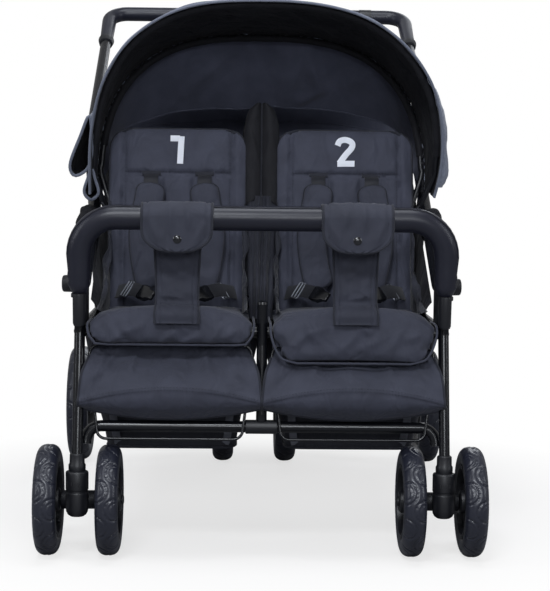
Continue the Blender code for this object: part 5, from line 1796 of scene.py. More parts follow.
# The rims of the loose side flaps: distance outside the frame tube and height
FLAP_RIMS = (
    (
        (0.000, 0.733), (0.0185, 0.696), (0.037, 0.652), (0.035, 0.632), (0.024, 0.629), (0.006, 0.643),
        (-0.002, 0.675),
    ),
    (
        (0.000, 0.641), (0.008, 0.622), (0.0145, 0.603), (0.011, 0.591), (0.001, 0.586), (-0.011, 0.598),
        (-0.006, 0.622),
    ),
)


def hood_flaps():
    """Loose folds on the left side of the front hood, open at the front, each with a bound rim."""
    top = HOOD_HOOPS["front"][0][0]
    pivot = hood_pivot("front")
    for side, sign in SIDES[:1]:
        for number, outline in enumerate(FLAP_RIMS):
            rim = []
            for x, z in outline:
                y = pivot.y + top[0] * (z - pivot.z) / top[1] - 0.004
                rim.append(Vector((sign * (FRAME_X + x), y, z)))
            rim = evenly(smooth_route(rim, 8, closed=True) + [rim[0]], 48)[:-1]
            centre = sum(rim, Vector()) / len(rim)
            inward = Vector((sign * (FRAME_X - 0.001), centre.y, centre.z))
            outer, inner = [], []
            for i in range(12):
                t = i / 11
                back = Vector((0, 0.085 * t, 0.015 * t))
                ring = []
                for point in rim:
                    shrunk = point.lerp(Vector((inward.x, point.y, point.z)), t**1.5 * 0.93)
                    ring.append(shrunk + back + Vector((ripple(point + back, 0.03, 0.003 * t, sign), 0, 0)))
                outer.append(ring)
                middle = sum(ring, Vector()) / len(ring)
                inner.append([point + (middle - point).normalized() * 0.0011 for point in ring])
            skin = loft(outer + inner[::-1], closed=True)
            finishes = [0 if k < 11 * 48 else 1 for k in range(len(skin[1]))]
            name = f"hood_flap_{side}_{number + 1}"
            made = piece(name, [(*skin, finishes)], ("heather", "lining"), roof_blend("front"), angle=75)
            cloth_sheet(made)
            path = [point + Vector((0, -0.0004, 0)) for point in rim]
            away = [(point - centre).normalized() for point in rim]
            bound = strap(path, away, 0.0052, 0.0036, closed=True)
            piece(name + "_rim", [bound], "trim", roof_blend("front"), angle=70)


# Crotch pads, slings, baskets and the rest of the cloth


WRAP_R = 0.0236
# Creases of the crotch pads: two ends from the middle of the bumper, width and rise
STRAP_FOLDS = (
    ((-0.034, -0.104), (0.028, -0.066), 0.010, 0.0095), ((-0.036, -0.126), (0.030, -0.100), 0.010, 0.0090),
    ((-0.010, -0.136), (0.036, -0.120), 0.008, 0.0070), ((-0.032, -0.082), (-0.004, -0.056), 0.009, 0.0070),
)
FLAP_FOLDS = (
    ((0.012, 0.022), (0.010, -0.024), 0.006, 0.0030), ((-0.016, 0.022), (-0.020, -0.018), 0.007, 0.0030),
    ((-0.045, -0.004), (-0.030, -0.036), 0.007, 0.0026), ((0.046, -0.002), (0.030, -0.038), 0.007, 0.0026),
)
CROTCH_SHIFT = {"left": 0.008, "right": 0.004}


def crotch_line():
    """Route of a crotch pad from the flap over the bumper and down to the seat's lip: (Y, Z, half width)."""
    line = [(-WRAP_R - 0.0014, -0.054, 0.048), (-WRAP_R - 0.0006, -0.036, 0.055), (-WRAP_R, -0.018, 0.057)]
    for i in range(13):
        angle = math.pi * (1 - i / 12)
        line.append((WRAP_R * math.cos(angle), WRAP_R * math.sin(angle), 0.057))
    line += [(WRAP_R, -0.018, 0.053), (WRAP_R - 0.0006, -0.034, 0.040), (WRAP_R - 0.001, -0.080, 0.036)]
    line += [(0.0205, -0.128, 0.0345), (0.0125, -0.1445, 0.035), (-0.0005, -0.156, 0.036)]
    return line + [(-0.0050, -0.173, 0.0355)]


def crotch_pieces():
    """A flap round the bumper with its bound edge and snap, and the padded strap from it down to the seat."""
    s = setting("stroller_seats")
    centre = Vector((0, bumper_y(BUMPER_TOP_Z), BUMPER_TOP_Z))
    for side, sign in SIDES:
        x = sign * s.back_x + CROTCH_SHIFT[side]
        path = smooth_route([Vector((half, y, z)) for y, z, half in crotch_line()], 5)
        front, back, left, right = [], [], [], []
        for i, knot in enumerate(path):
            before, after = path[max(i - 1, 0)], path[min(i + 1, len(path) - 1)]
            way = Vector((0, after.y - before.y, after.z - before.z)).normalized()
            normal = Vector((0, -way.z, way.y))
            place = centre + Vector((x, knot.y, knot.z))
            corner = max(-0.020 - knot.z, 0) / 0.034 if i < 25 else 0
            half = knot.x - 0.034 * (1 - math.sqrt(max(1 - min(corner, 1) ** 2.2, 0)))
            hanging = i > 75
            low = min(max(-0.118 - knot.z, 0) / 0.05, 1)
            puff = 0.0045 * abs(math.sin(low * math.tau)) ** 0.7
            columns = [k / 20 - 1 for k in range(41)]
            over, under = [], []
            for t in columns:
                spot = (x + half * t, 0, knot.z + (0.05 if hanging else 0))
                crease = wrinkles(spot, 0.024, 0.0034, sign, 0.15 if not hanging else 0.7)
                crease += folds(sign * half * t, knot.z, STRAP_FOLDS if hanging else FLAP_FOLDS)
                crease *= 1 - abs(t) ** 5
                bound = 0.0022 * groove((abs(t) - 1) * half + 0.0085, 0.0013)
                thick = (0.0030 + puff) * (1 - abs(t) ** 7) - bound
                over.append(thick - crease if hanging else thick + crease)
                under.append(-thick - crease if hanging else -0.0022)
            front.append([place + Vector((half * t, 0, 0)) + normal * h for t, h in zip(columns, over)])
            back.append([place + Vector((half * t, 0, 0)) + normal * h for t, h in zip(columns, under)])
            left.append(place + Vector((-half, 0, 0)))
            right.append(place + Vector((half, 0, 0)))
        # The pad's finish is the seat cloth made darker, as painted shade.
        made = piece(f"crotch_{side}", [slab(front, back)], "pad", "bumper", f"crotch_pad_{side}", angle=75)
        bottom = [front[0][k].lerp(back[0][k], 0.5) for k in range(39, 1, -1)]
        rim = right[::-1] + bottom + left
        piece(f"crotch_binding_{side}", [tube(rim, 0.0021, 8)], "binding", "bumper")
        snap = [(0, 0.0068), (0.0012, 0.0068), (0.0024, 0.0054), (0.0030, 0.0026)]
        spot = Vector((x - sign * 0.001, centre.y - WRAP_R - 0.0036, BUMPER_TOP_Z - 0.034))
        piece(f"crotch_snap_{side}", [stack(snap, spot, (0, -1, 0), 28)], "buckle", "bumper")


SLING_TOP = RAIL_Z - RAIL_GAP
# Rows of a footrest sling: height and Y in its middle and at its edges, half width, depth of its folds
SLING_ROWS = (
    (SLING_TOP, SLING_TOP, -0.440, -0.440, 0.129, 0.0),
    (0.335, 0.335, -0.449, -0.454, 0.134, 0.0025),
    (0.305, 0.305, -0.486, -0.485, 0.1455, 0.0025),
    (0.285, 0.262, -0.508, -0.4985, 0.150, 0.0),
    (0.256, 0.255, -0.505, -0.4965, 0.1505, 0.0),
    (0.231, 0.249, -0.482, -0.484, 0.150, 0.0),
)
SLING_FINE = 12
# Creases of a sling: two ends from its middle, width and rise
SLING_FOLDS = tuple(
    ((hand * x, 0.352), (hand * (x + out), low), 0.010, 0.0075)
    for hand in (-1, 1)
    for x, out, low in (
        (0.100, 0.028, 0.296), (0.080, 0.040, 0.300), (0.115, 0.022, 0.310), (0.055, 0.010, 0.305),
    )
)


def sling_pieces():
    """Calf panels that hang from the front rail to a curved seam and a lip that turns back under it."""
    s = setting("stroller_seats")
    for side, sign in SIDES:
        x = sign * s.seat_x
        rows = []
        for middle_z, edge_z, middle_y, edge_y, half, fold in SLING_ROWS:
            row = []
            for k in range(97):
                t = k / 48 - 1
                y = middle_y + (edge_y - middle_y) * t * t - fold * math.cos(4 * math.pi * t)
                row.append(Vector((x + t * half, y, middle_z + (edge_z - middle_z) * t * t)))
            rows.append(row)
        rows = refined(rows, 1, SLING_FINE)
        seam_row = 3 * SLING_FINE
        moved = []
        for i, row in enumerate(rows):
            moved.append([])
            down = min(i / seam_row, 1.0)
            for k, point in enumerate(row):
                t = k / 48 - 1
                hang = math.sin(math.pi * down)
                height = ripple((point.x, 0, point.z * 0.5), 0.04, 0.0035, sign + 2) * hang
                for corner in (-1, 1):
                    angle = math.atan2(down + 0.05, abs(t - corner * 1.05) + 0.001)
                    fan = math.sin(angle * 13 + corner) * math.exp(-abs(t - corner) * 1.4)
                    height += 0.0026 * fan * hang
                near = abs(i - seam_row) / 3
                height += 0.0030 * math.exp(-near * near * 2.0)
                pucker = noise.noise(Vector((t * 42, 1.0, sign))) * 0.0022
                height += pucker * math.exp(-near)
                height += folds(point.x - x, point.z, SLING_FOLDS)
                below = max((i - seam_row) / (2 * SLING_FINE), 0)
                height += 0.004 * math.sin(math.pi * below) * (1 - t * t)
                moved[-1].append(point + Vector((0, -height, 0)))
        back = [[point + Vector((0, 0.0030, -0.0001)) for point in row] for row in moved]
        node = f"footrest_sling_{side}"
        made = piece(f"sling_{side}", [slab(moved, back)], "cloth", "frame", node, angle=75)
        cloth_sheet(made)
        ends = [line[0] + Vector((0, 0.0012, 0)) for line in moved]
        others = [line[-1] + Vector((0, 0.0012, 0)) for line in moved]
        rim = ends[:-1] + [point + Vector((0, 0.0012, 0)) for point in moved[-1]] + others[:-1][::-1]
        piece(f"sling_binding_{side}", [tube(rim, 0.0023, 8)], "binding", "frame")
        seam = [point + Vector((0, -0.0006, 0.0022)) for point in moved[seam_row][2:-2]]
        below = [point + Vector((0, -0.0006, -0.0028)) for point in moved[seam_row][2:-2]]
        stitches(f"sling_stitches_{side}", [seam, below], "frame", "binding")


def rounded_rectangle(low, high, corner, z, per_corner=10, per_side=16):
    """Points round a rectangle with rounded corners, at one height."""
    points = []
    spots = ((high[0] - corner, high[1] - corner, 0), (low[0] + corner, high[1] - corner, 90))
    spots += ((low[0] + corner, low[1] + corner, 180), (high[0] - corner, low[1] + corner, 270))
    for number, (x, y, start) in enumerate(spots):
        arc = []
        for i in range(per_corner + 1):
            angle = math.radians(start + 90 * i / per_corner)
            arc.append(Vector((x + corner * math.cos(angle), y + corner * math.sin(angle), z)))
        points += arc
        nx, ny, turn = spots[(number + 1) % 4]
        angle = math.radians(turn)
        following = Vector((nx + corner * math.cos(angle), ny + corner * math.sin(angle), z))
        points += [arc[-1].lerp(following, i / per_side) for i in range(1, per_side)]
    return points


BASKET_RIM_Z = RAIL_Z - 0.0112
BASKET_FRONT_Y = -0.395
FLOOR_SAG = 0.007


def basket_walls(sign):
    """Rings of a tub's walls from its rim down, and the middle of its rim."""
    # Height, inner and outer X and how far the ends draw in, from the rim to the floor
    levels = (
        (BASKET_RIM_Z, 0.0025, FRAME_X, 0.0),
        (0.215, 0.034, FRAME_X - 0.030, 0.003),
        (0.166, 0.042, FRAME_X - 0.040, 0.004),
    )
    knots = []
    for z, near, far, draw in levels:
        low_x, high_x = sorted((sign * near, sign * far))
        knots.append(rounded_rectangle((low_x, BASKET_FRONT_Y + draw), (high_x, -draw * 3), 0.03, z))
    rings = [list(ring) for ring in zip(*[smooth_route(column, 9) for column in zip(*knots)])]
    centre = sum(knots[0], Vector()) / len(knots[0])
    moved = []
    for i, ring in enumerate(rings):
        t = i / (len(rings) - 1)
        moved.append([])
        for point in ring:
            out = (Vector((point.x, point.y, 0)) - Vector((centre.x, centre.y, 0))).normalized()
            height = ripple(point, 0.06, 0.006, sign) + ripple(point, 0.022, 0.0022, sign + 4)
            moved[-1].append(point + out * height * math.sin(math.pi * min(t * 1.25, 1.0)))
    return moved, centre


def basket_pieces():
    """Cloth tubs under the seats: bound rims, sagging floors and grey tapes at the corners."""
    tape_line = ((-0.3965, BASKET_RIM_Z - 0.01), (-0.3955, 0.235), (-0.3925, 0.190), (-0.388, 0.1735))
    tape_spots = ((0.046, (0.0, 0.006, 0.010, 0.014)), (0.256, (0.0, -0.004, -0.010, -0.014)))
    for side, sign in SIDES:
        walls, centre = basket_walls(sign)
        floor = []
        for share in (0.94, 0.8, 0.6, 0.4, 0.2, 0.05):
            low = walls[-1][0].z - FLOOR_SAG * (1 - share * share)
            ring = [centre.lerp(point, share) for point in walls[-1]]
            floor.append([Vector((p.x, p.y, low + ripple(p, 0.05, 0.003, 7))) for p in ring])
        outer = walls + floor
        inner = []
        for i, ring in enumerate(outer):
            middle = sum(ring, Vector()) / len(ring)
            lift = Vector((0, 0, SHEET if i >= len(walls) - 1 else 0.0))
            inner.append([])
            for p in ring:
                inward = (Vector((middle.x, middle.y, p.z)) - p).normalized()
                inner[-1].append(p + inward * SHEET + lift)
        skin = closed_tub(outer, inner)
        made = piece(f"basket_{side}_tub", [skin], "basket", "frame", f"basket_{side}", angle=75)
        cloth_sheet(made)
        rim = [point + Vector((0, 0, 0.0005)) for point in walls[0]]
        piece(f"basket_rim_{side}", [tube(rim, 0.0034, 8, closed=True)], "binding", "frame")
        hem = [p.lerp(Vector((centre.x, centre.y, p.z)), -0.004) for p in walls[-2]]
        piece(f"basket_hem_{side}", [tube(hem, 0.0017, 8, closed=True)], "binding", "frame")
        tapes = []
        for x, shifts in tape_spots:
            line = [(sign * (x + shift), y, z) for shift, (y, z) in zip(shifts, tape_line)]
            tapes.append(strap(smooth_route(line, 8), (1, 0, 0), 0.013, 0.0018))
        piece(f"basket_tapes_{side}", tapes, "strap", "frame")


def closed_tub(outer, inner):
    """A closed skin of an outer and an inner surface that share a rim at the top and are capped below."""
    count = len(outer[0])
    points = [p for ring in outer for p in ring] + [p for ring in inner for p in ring]
    half = len(outer) * count
    faces = []
    for i in range(len(outer) - 1):
        for k in range(count):
            m = (k + 1) % count
            a, b, c, d = i * count + k, i * count + m, (i + 1) * count + m, (i + 1) * count + k
            faces.append((a, b, c, d))
            faces.append((a + half, d + half, c + half, b + half))
    last = (len(outer) - 1) * count
    faces.append(tuple(last + k for k in range(count)))
    faces.append(tuple(last + half + k for k in reversed(range(count))))
    for k in range(count):
        m = (k + 1) % count
        faces.append((k, k + half, m + half, m))
    return points, faces


SIDE_WALL_LONG = 0.325


def side_panel_pieces():
    """Cloth walls beside the front seats, from the push tubes down to the rails."""
    slope = (HINGE.z - PUSH_START.z) / (HINGE.y - PUSH_START.y)
    for side, sign in SIDES:
        rows = []
        for i in range(13):
            t = i / 12
            row = []
            for k in range(33):
                u = k / 32
                y = BASKET_FRONT_Y + u * SIDE_WALL_LONG
                high, low = PUSH_START.z + (y - PUSH_START.y) * slope - 0.014, RAIL_Z + 0.0125
                z = high + (low - high) * t
                x = FRAME_X - 0.0125 - 0.010 * math.sin(math.pi * t)
                x += ripple((0, y, z), 0.05, 0.004, sign) * math.sin(math.pi * t)
                row.append(Vector((sign * x, y, z)))
            rows.append(row)
        normals = grid_normals(rows, Vector((0, -0.2, 0.45)))
        made = piece(f"side_wall_{side}", [walled(rows, normals, SHEET)], "lining", "frame", angle=75)
        cloth_sheet(made)


# Half width and height along the backrest's slope of the middle wings, from their foot to their top
WING_ROWS = (
    (0.031, 0.2155), (0.032, 0.232), (0.0325, 0.262), (0.0325, 0.300), (0.0315, 0.335), (0.028, 0.358),
    (0.022, 0.374), (0.010, 0.385),
)


def wing_pieces(row):
    """A padded petal beside each backrest's inner edge; the two of a row meet in the middle."""
    for side, sign in SIDES:
        foot = back_foot(row, sign)
        front, back = [], []
        for number, (half, up) in enumerate(flat_route(WING_ROWS, 5)):
            front.append([])
            back.append([])
            for k in range(25):
                t = k / 24
                x = 0.0009 + (half - 0.0009) * t
                bulge = 0.010 * math.sin(math.pi * t) ** 0.6
                rise = up - (0.018 * t * (1 - number / 12) if number < 12 else 0.0)
                base = Vector((sign * x, foot.y, foot.z)) + BACK_UP * rise
                height = bulge + ripple((x, up, sign), 0.035, 0.0016, sign)
                front[-1].append(base + BACK_AHEAD * (0.002 + height))
                back[-1].append(base + BACK_AHEAD * (0.0005 - bulge * 0.4))
        body = f"backrest_{row}_{side}"
        made = piece(f"{body}_wing", [slab(front, back)], "lining", body, angle=75)
        edge = [line[0] + BACK_AHEAD * 0.0004 for line in front]
        piece(f"{body}_wing_edge", [tube(edge, 0.0008, 6)], "binding", body)


def gusset_pieces(row):
    """Cloth gussets that join each seat's sides to its backrest, loose and creased."""
    s = setting("stroller_seats")
    front_y = seat_tube_y(row) - 0.012
    hinge = back_hinge(row)
    for side, sign in SIDES:
        seat = back_foot(row, sign).x
        for hand, label in ((-1, "near"), (1, "far")):
            rows = []
            low_x = sign * s.seat_x + hand * (s.seat_half - 0.006)
            for i in range(25):
                v = i / 24
                u = 0.62 * v
                edge = back_foot(row, sign) + Vector((hand * back_half(u), 0, 0))
                edge += BACK_UP * u * s.back_length + BACK_AHEAD * 0.006
                start_y = front_y + (hinge.y - 0.03 - front_y) * v**0.8
                start = Vector((low_x, start_y, SEAT_TOP - 0.004 + 0.012 * v))
                rows.append([])
                for k in range(21):
                    t = k / 20
                    point = start.lerp(edge, t)
                    loose = math.sin(math.pi * t)
                    fold = ripple((v * 0.10, t * 0.22, sign * hand), 0.035, 0.008, sign + hand) * loose
                    fold += 0.0035 * math.sin(t * 16 + v * 5) * v * loose
                    rows[-1].append(point + Vector((-hand * 0.002 + fold, 0, -0.006 * loose * v)))
            normals = grid_normals(rows, Vector((seat, hinge.y, SEAT_TOP)))
            body = f"backrest_{row}_{side}"
            start = Vector((0, hinge.y - 0.09, hinge.z + 0.05))
            end = Vector((0, hinge.y - 0.01, hinge.z + 0.11))
            name, blend = f"{body}_gusset_{label}", ("frame", body, start, end)
            # The gussets' finish is the seat cloth darkened, as painted shade between the seats.
            made = piece(name, [walled(rows, normals, SHEET)], "inner", blend, angle=75)
            cloth_sheet(made)
            piece(name + "_hem", [tube(rows[-1], 0.0018, 8)], "binding", blend)


# A buckle half along its webbing: distance from the end, half width and half thickness
BUCKLE_LINE = (
    (-0.006, 0.0135, 0.004), (0.0, 0.0145, 0.005), (0.016, 0.0140, 0.0052), (0.024, 0.0095, 0.0045),
    (0.034, 0.0085, 0.003),
)
BUCKLE_RING = ((-1, -0.5), (-0.8, -1), (0.8, -1), (1, -0.5), (1, 0.5), (0.8, 1), (-0.8, 1), (-1, 0.5))
# Lap webbing from a seat's side to its middle: X and Y from the seat's hinge, and height
LAP_ROUTE = (
    (0.104, -0.018, 0.4255), (0.092, -0.040, 0.4295), (0.074, -0.066, 0.4335), (0.056, -0.090, 0.4305),
)


def lap_pieces(row):
    """Lap webbing with a slide and a buckle half on each side."""
    s = setting("stroller_seats")
    hinge = back_hinge(row)
    for side, sign in SIDES:
        seat = sign * s.back_x
        bands, plastic, steel = [], [], []
        for hand in (-1, 1):
            knots = [Vector((seat + hand * x, hinge.y + y, z)) for x, y, z in LAP_ROUTE]
            route = smooth_route(knots, 7)
            count = len(route)
            twist = [Vector((-hand * 0.25, 0.35, 0.9 - 0.3 * i / count)) for i in range(count)]
            bands.append(strap(route, twist, s.webbing, 0.0018))
            end, before = route[-1], route[-4]
            way = (end - before).normalized()
            wide = (twist[-1] - way * twist[-1].dot(way)).normalized()
            up = way.cross(wide)
            grip = []
            for along, half, thick in BUCKLE_LINE:
                place = end + way * along
                grip.append([place + wide * half * u + up * thick * v for u, v in BUCKLE_RING])
            plastic.append(loft(grip))
            middle = route[count // 2] + up * 0.0022
            corners = ((-1, -1), (1, -1), (1, 1), (-1, 1))
            bar = [middle + wide * u * 0.0155 + way * v * 0.0075 for u, v in corners]
            steel.append(tube(rounded_path(bar + bar[:1], 0.003, 3), 0.0014, 8))
            steel.append(tube([bar[0].lerp(bar[3], 0.5), bar[1].lerp(bar[2], 0.5)], 0.0013, 8))
        piece(f"lap_webbing_{row}_{side}", bands, "webbing", "frame")
        piece(f"lap_buckles_{row}_{side}", plastic, "buckle", "frame", bevel=0.0008)
        piece(f"lap_slides_{row}_{side}", steel, "chrome", "frame")


def curtain_piece(row):
    """Cloth gathered between the two seats of a row, from the rail up to the wings."""
    hinge = back_hinge(row)
    rows = []
    for i in range(29):
        v = i / 28
        z = RAIL_Z + 0.012 + 0.212 * (1 - v)
        half = 0.0262 - 0.006 * v
        row_points = []
        for k in range(33):
            t = k / 16 - 1
            base = hinge.y + math.tan(BACK_ANGLE) * (z - hinge.z) - 0.006 - 0.050 * v * v
            fold = 0.0055 * math.sin(t * 9.0 + 2.2 * v) + ripple((t * 0.03, 0, z), 0.03, 0.006, v)
            row_points.append(Vector((t * half, base + fold * (1 - t * t) - 0.012 * (1 - t * t), z)))
        rows.append(row_points)
    normals = grid_normals(rows, Vector((0, hinge.y + 1, 0.5)))
    # The curtain's finish is the seat cloth darkened, as painted shade between the seats.
    made = piece(f"middle_curtain_{row}", [walled(rows, normals, SHEET)], "inner", "frame", angle=75)
    cloth_sheet(made)


SKIRT_LOW = 0.640


def skirt_piece():
    """The cloth that hangs from the rear hood's hem behind the rear seats."""
    rows = hood_section("rear", 7, 7, 14)
    hem = rows[0]
    low, high = HOOD_COLUMNS // 12, HOOD_COLUMNS - HOOD_COLUMNS // 12
    grid = []
    for i in range(17):
        v = i / 16
        line = []
        for k in range(low, high + 1):
            u = (k - low) / (high - low)
            point = hem[k]
            fall = (point.z - SKIRT_LOW) * v
            fold = ripple((point.x, 0, v * 0.05), 0.06, 0.010, 3) * v
            height = point.z - fall + 0.004 * math.sin(u * 19) * v
            line.append(Vector((point.x * (1 - 0.05 * v), point.y + 0.004 + fold, height)))
        grid.append(line)
    normals = grid_normals(grid, Vector((0, -1, 0.6)))
    skin = walled(grid, normals, SHEET, 0, 1)
    # The skirt's inside and its hem take the seat cloth brightened, as painted light.
    made = piece("rear_hood_skirt", [skin], ("heather", "back"), "frame", angle=75)
    cloth_sheet(made)
    piece("rear_hood_skirt_hem", [tube(grid[-1], 0.0019, 8)], "back", "frame")


# Width of the right flap at each height, folded back so that its outside shows
LOBE_ROWS = (
    (0.805, 0.002), (0.778, 0.008), (0.740, 0.011), (0.705, 0.011), (0.685, 0.010), (0.660, 0.015),
    (0.640, 0.018), (0.625, 0.016), (0.614, 0.011),
)


def lobe_piece():
    """The outer edge of the front hood's right side, folded forward."""
    top = HOOD_HOOPS["front"][0][0]
    pivot = hood_pivot("front")
    rim = arch("front", *hood_arches("front")[0])
    rows = []
    for z, reach in flat_route(LOBE_ROWS, 4):
        near = min(rim[len(rim) // 2 :], key=lambda point: abs(point.z - z))
        y = pivot.y + top[0] * (z - pivot.z) / top[1] - 0.010
        row = []
        for k in range(9):
            t = k / 8
            deep = y + 0.020 * t * t + 0.002 * math.sin(z * 60)
            row.append(Vector((near.x - 0.002 + (reach + 0.002) * t, deep, z)))
        rows.append(row)
    normals = grid_normals(rows, pivot + Vector((0, 0.4, 0.1)))
    skin = walled(rows, normals, SHEET)
    made = piece("hood_flap_fold", [skin], "heather", roof_blend("front"), angle=75)
    cloth_sheet(made)


# Stage


CAMERA_PLACE = Vector((-0.050, -3.156, 0.644))
CAMERA_PITCH = math.radians(4.43)
CAMERA_YAW = math.radians(1.5)
CAMERA_ROLL = math.radians(0.65)
CAMERA_LENS = 99.45
# Share of plain white in the floor under the stroller
FLOOR_GLOW = 0.68


FLOOR_HALF, FLOOR_Z = 12.0, -0.0006
# Share of the white surroundings that shiny faces mirror
SHINE_SHARE = 0.22
# Each lamp: place, the place that it faces, its two sides and its power in watts
LAMPS = (
    ("stage_top", (0.0, -0.6, 3.4), (0, -0.1, 0.4), (1.8, 1.2), 44),
    ("stage_key", (-0.7, -3.4, 3.3), (0, -0.2, 0.5), (1.1, 0.7), 80),
    ("stage_fill", (0.3, -4.3, 1.6), (0, -0.2, 0.6), (1.2, 0.9), 42),
    ("stage_left", (-2.9, -1.4, 1.6), (0, -0.1, 0.5), (0.4, 1.8), 16),
    ("stage_right", (2.9, -1.4, 1.6), (0, -0.1, 0.5), (0.4, 1.8), 16),
    ("stage_back", (0.4, 2.8, 2.2), (0, 0.2, 0.5), (2.2, 1.6), 24),
)


def floor_material():
    """Matt white paper that keeps the object's shadow and turns plain white further out."""
    made, tree, shader = blank_material("Matt paper floor", 0.85, specular=0.1)
    coords = object_coords(tree)
    mottled(tree, shader, (0.96, 0.93, 0.90), 300, 0.008, coords)
    path = add_node(tree, "ShaderNodeLightPath")
    glow = add_node(tree, "ShaderNodeEmission", {"Strength": 1.0})
    glow.inputs["Color"].default_value = (1.0, 1.0, 1.0, 1.0)
    # Grey in what it throws back, so that the underside of the object stays dark.
    grey = add_node(tree, "ShaderNodeBsdfDiffuse", {"Color": (0.30, 0.30, 0.31, 1.0)})
    far = add_node(tree, "ShaderNodeVectorMath", {0: coords}, operation="LENGTH")
    reach = {"Value": far.outputs["Value"], "From Min": 0.5, "From Max": 0.9, "To Min": FLOOR_GLOW}
    share = add_node(tree, "ShaderNodeMapRange", reach)
    mix = {0: share.outputs["Result"], 1: shader.outputs[0], 2: glow.outputs[0]}
    paper = add_node(tree, "ShaderNodeMixShader", mix)
    mix = {0: path.outputs["Is Camera Ray"], 1: grey.outputs[0], 2: paper.outputs[0]}
    both = add_node(tree, "ShaderNodeMixShader", mix)
    tree.links.new(both.outputs[0], tree.nodes["Material Output"].inputs["Surface"])
    return made


def light(name, place, target, size, power):
    """A soft oblong lamp that faces a place."""
    lamp = bpy.data.lights.new(name, "AREA")
    lamp.shape = "RECTANGLE"
    lamp.size, lamp.size_y = size
    lamp.energy = power
    lamp.color = (0.9, 0.94, 1.0)
    made = in_scene(name, lamp)
    made.location = place
    made.rotation_euler = (Vector(target) - Vector(place)).to_track_quat("-Z", "Y").to_euler()


def build_stage():
    """Floor, white surroundings, soft lamps and the camera."""
    scene = bpy.context.scene
    corners = ((-1, -1), (1, -1), (1, 1), (-1, 1))
    mesh = bpy.data.meshes.new("stage_floor")
    mesh.from_pydata([(x * FLOOR_HALF, y * FLOOR_HALF, FLOOR_Z) for x, y in corners], [], [(0, 1, 2, 3)])
    mesh.materials.append(floor_material())
    in_scene("stage_floor", mesh)
    scene.world = white_studio()
    for name, place, target, size, power in LAMPS:
        light(name, place, target, size, power)
    lens = bpy.data.cameras.new("camera")
    lens.lens = CAMERA_LENS
    lens.sensor_width = 36.0
    lens.clip_end = 60.0
    camera = in_scene("camera", lens)
    camera.location = CAMERA_PLACE
    level = Euler((math.radians(90) - CAMERA_PITCH, 0.0, -CAMERA_YAW)).to_matrix()
    camera.rotation_euler = (level @ Matrix.Rotation(CAMERA_ROLL, 3, "Z")).to_euler()
    scene.camera = camera
    scene.view_settings.view_transform = "Standard"


def white_studio():
    """Surroundings that look white, and light the object and its shine much less."""
    world = bpy.data.worlds.new("White studio")
    world.use_nodes = True
    tree = world.node_tree
    dim = tree.nodes["Background"]
    dim.inputs["Color"].default_value = (0.93, 0.95, 1.0, 1.0)
    dim.inputs["Strength"].default_value = 0.11
    bright = add_node(tree, "ShaderNodeBackground", {"Strength": 1.0})
    bright.inputs["Color"].default_value = (1.0, 1.0, 1.0, 1.0)
    path = add_node(tree, "ShaderNodeLightPath")
    mirrors = {0: path.outputs["Is Glossy Ray"], 1: path.outputs["Is Transmission Ray"]}
    seen = add_node(tree, "ShaderNodeMath", mirrors, operation="MAXIMUM")
    part = add_node(tree, "ShaderNodeMath", {0: seen.outputs[0], 1: SHINE_SHARE}, operation="MULTIPLY")
    views = {0: part.outputs[0], 1: path.outputs["Is Camera Ray"]}
    either = add_node(tree, "ShaderNodeMath", views, operation="MAXIMUM")
    mix = {0: either.outputs[0], 1: dim.outputs[0], 2: bright.outputs[0]}
    mixed = add_node(tree, "ShaderNodeMixShader", mix)
    tree.links.new(mixed.outputs[0], tree.nodes["World Output"].inputs["Surface"])
    return world


# Add-on


def build_seats():
    for row in ROWS:
        seat_pad_pieces(row)
        backrest_pieces(row)
        numeral_pieces(row)
        shoulder_pieces(row)
        wing_pieces(row)
        gusset_pieces(row)
        curtain_piece(row)
        lap_pieces(row)


def build_hoods():
    for number, row in enumerate(ROWS):
        hoop_pieces(row)
        hood_front(row, 3.1 + number)
        hood_panel(row, 6.4 + number)
        hood_clamps(row)
    skirt_piece()
    hood_flaps()
    lobe_piece()


class BuildStep:
    """What every step of the build shares: it calls its makers in order."""

    makers = ()

    def execute(self, context):
        for maker in self.makers:
            maker()
        return {"FINISHED"}


class STROLLER_OT_finishes(BuildStep, bpy.types.Operator):
    """Make every finish of the stroller"""

    bl_idname = "stroller.finishes"
    bl_label = "Finishes"
    makers = (make_materials,)


class STROLLER_OT_frame(BuildStep, bpy.types.Operator):
    """Legs, rails, push tubes, hinges and arms"""

    bl_idname = "stroller.frame"
    bl_label = "Frame"
    makers = (
        front_leg_pieces, cross_tube_pieces, push_tube_pieces, seat_frame_piece,
        rear_leg_pieces, hinge_pieces, side_joint_pieces,
    )


class STROLLER_OT_wheels(BuildStep, bpy.types.Operator):
    """Casters, wheels, axle and brake pedals"""

    bl_idname = "stroller.wheels"
    bl_label = "Wheels"
    makers = (caster_pieces, front_wheel_pieces, rear_wheel_pieces, axle_pieces)


class STROLLER_OT_handles(BuildStep, bpy.types.Operator):
    """Handle, bumper and footrest wires"""

    bl_idname = "stroller.handles"
    bl_label = "Handle and bumper"
    makers = (handle_pieces, bumper_pieces, wire_pieces)


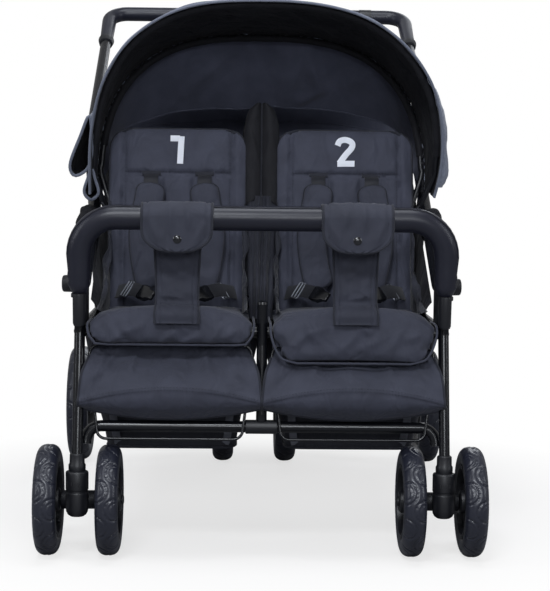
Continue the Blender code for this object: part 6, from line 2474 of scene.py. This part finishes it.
class STROLLER_OT_seats(BuildStep, bpy.types.Operator):
    """Seat pads, backrests, harnesses and gussets"""

    bl_idname = "stroller.seats"
    bl_label = "Seats"
    makers = (build_seats,)


class STROLLER_OT_hoods(BuildStep, bpy.types.Operator):
    """Hoops, hood cloth, bindings and flaps"""

    bl_idname = "stroller.hoods"
    bl_label = "Hoods"
    makers = (build_hoods,)


class STROLLER_OT_cloth(BuildStep, bpy.types.Operator):
    """Crotch pads, slings, baskets and side walls"""

    bl_idname = "stroller.cloth"
    bl_label = "Slings and baskets"
    makers = (crotch_pieces, sling_pieces, basket_pieces, side_panel_pieces)


class STROLLER_OT_stage(BuildStep, bpy.types.Operator):
    """Floor, lamps and camera"""

    bl_idname = "stroller.stage"
    bl_label = "Stage"
    makers = (build_stage,)


OPERATORS = (
    STROLLER_OT_finishes,
    STROLLER_OT_frame,
    STROLLER_OT_wheels,
    STROLLER_OT_handles,
    STROLLER_OT_seats,
    STROLLER_OT_hoods,
    STROLLER_OT_cloth,
    STROLLER_OT_stage,
)


class STROLLER_PT_panel(bpy.types.Panel):
    """The stroller's sizes and the steps that build it"""

    bl_idname = "STROLLER_PT_panel"
    bl_label = "Stroller"
    bl_space_type = "VIEW_3D"
    bl_region_type = "UI"
    bl_category = "Stroller"

    def draw(self, context):
        for name, group in GROUPS.items():
            box = self.layout.box()
            box.label(text=group.__doc__)
            for size in group.__annotations__:
                box.prop(getattr(context.scene, name), size)
        for operator in OPERATORS:
            self.layout.operator(operator.bl_idname)


def register():
    for made in (*GROUPS.values(), *OPERATORS, STROLLER_PT_panel):
        bpy.utils.register_class(made)
    for name, group in GROUPS.items():
        setattr(bpy.types.Scene, name, PointerProperty(type=group))


def unregister():
    for name in GROUPS:
        delattr(bpy.types.Scene, name)
    for made in reversed((*GROUPS.values(), *OPERATORS, STROLLER_PT_panel)):
        bpy.utils.unregister_class(made)


def main():
    """Build every piece in order."""
    register()
    for operator in OPERATORS:
        group, step = operator.bl_idname.split(".")
        getattr(getattr(bpy.ops, group), step)()


if __name__ == "__main__":
    main()
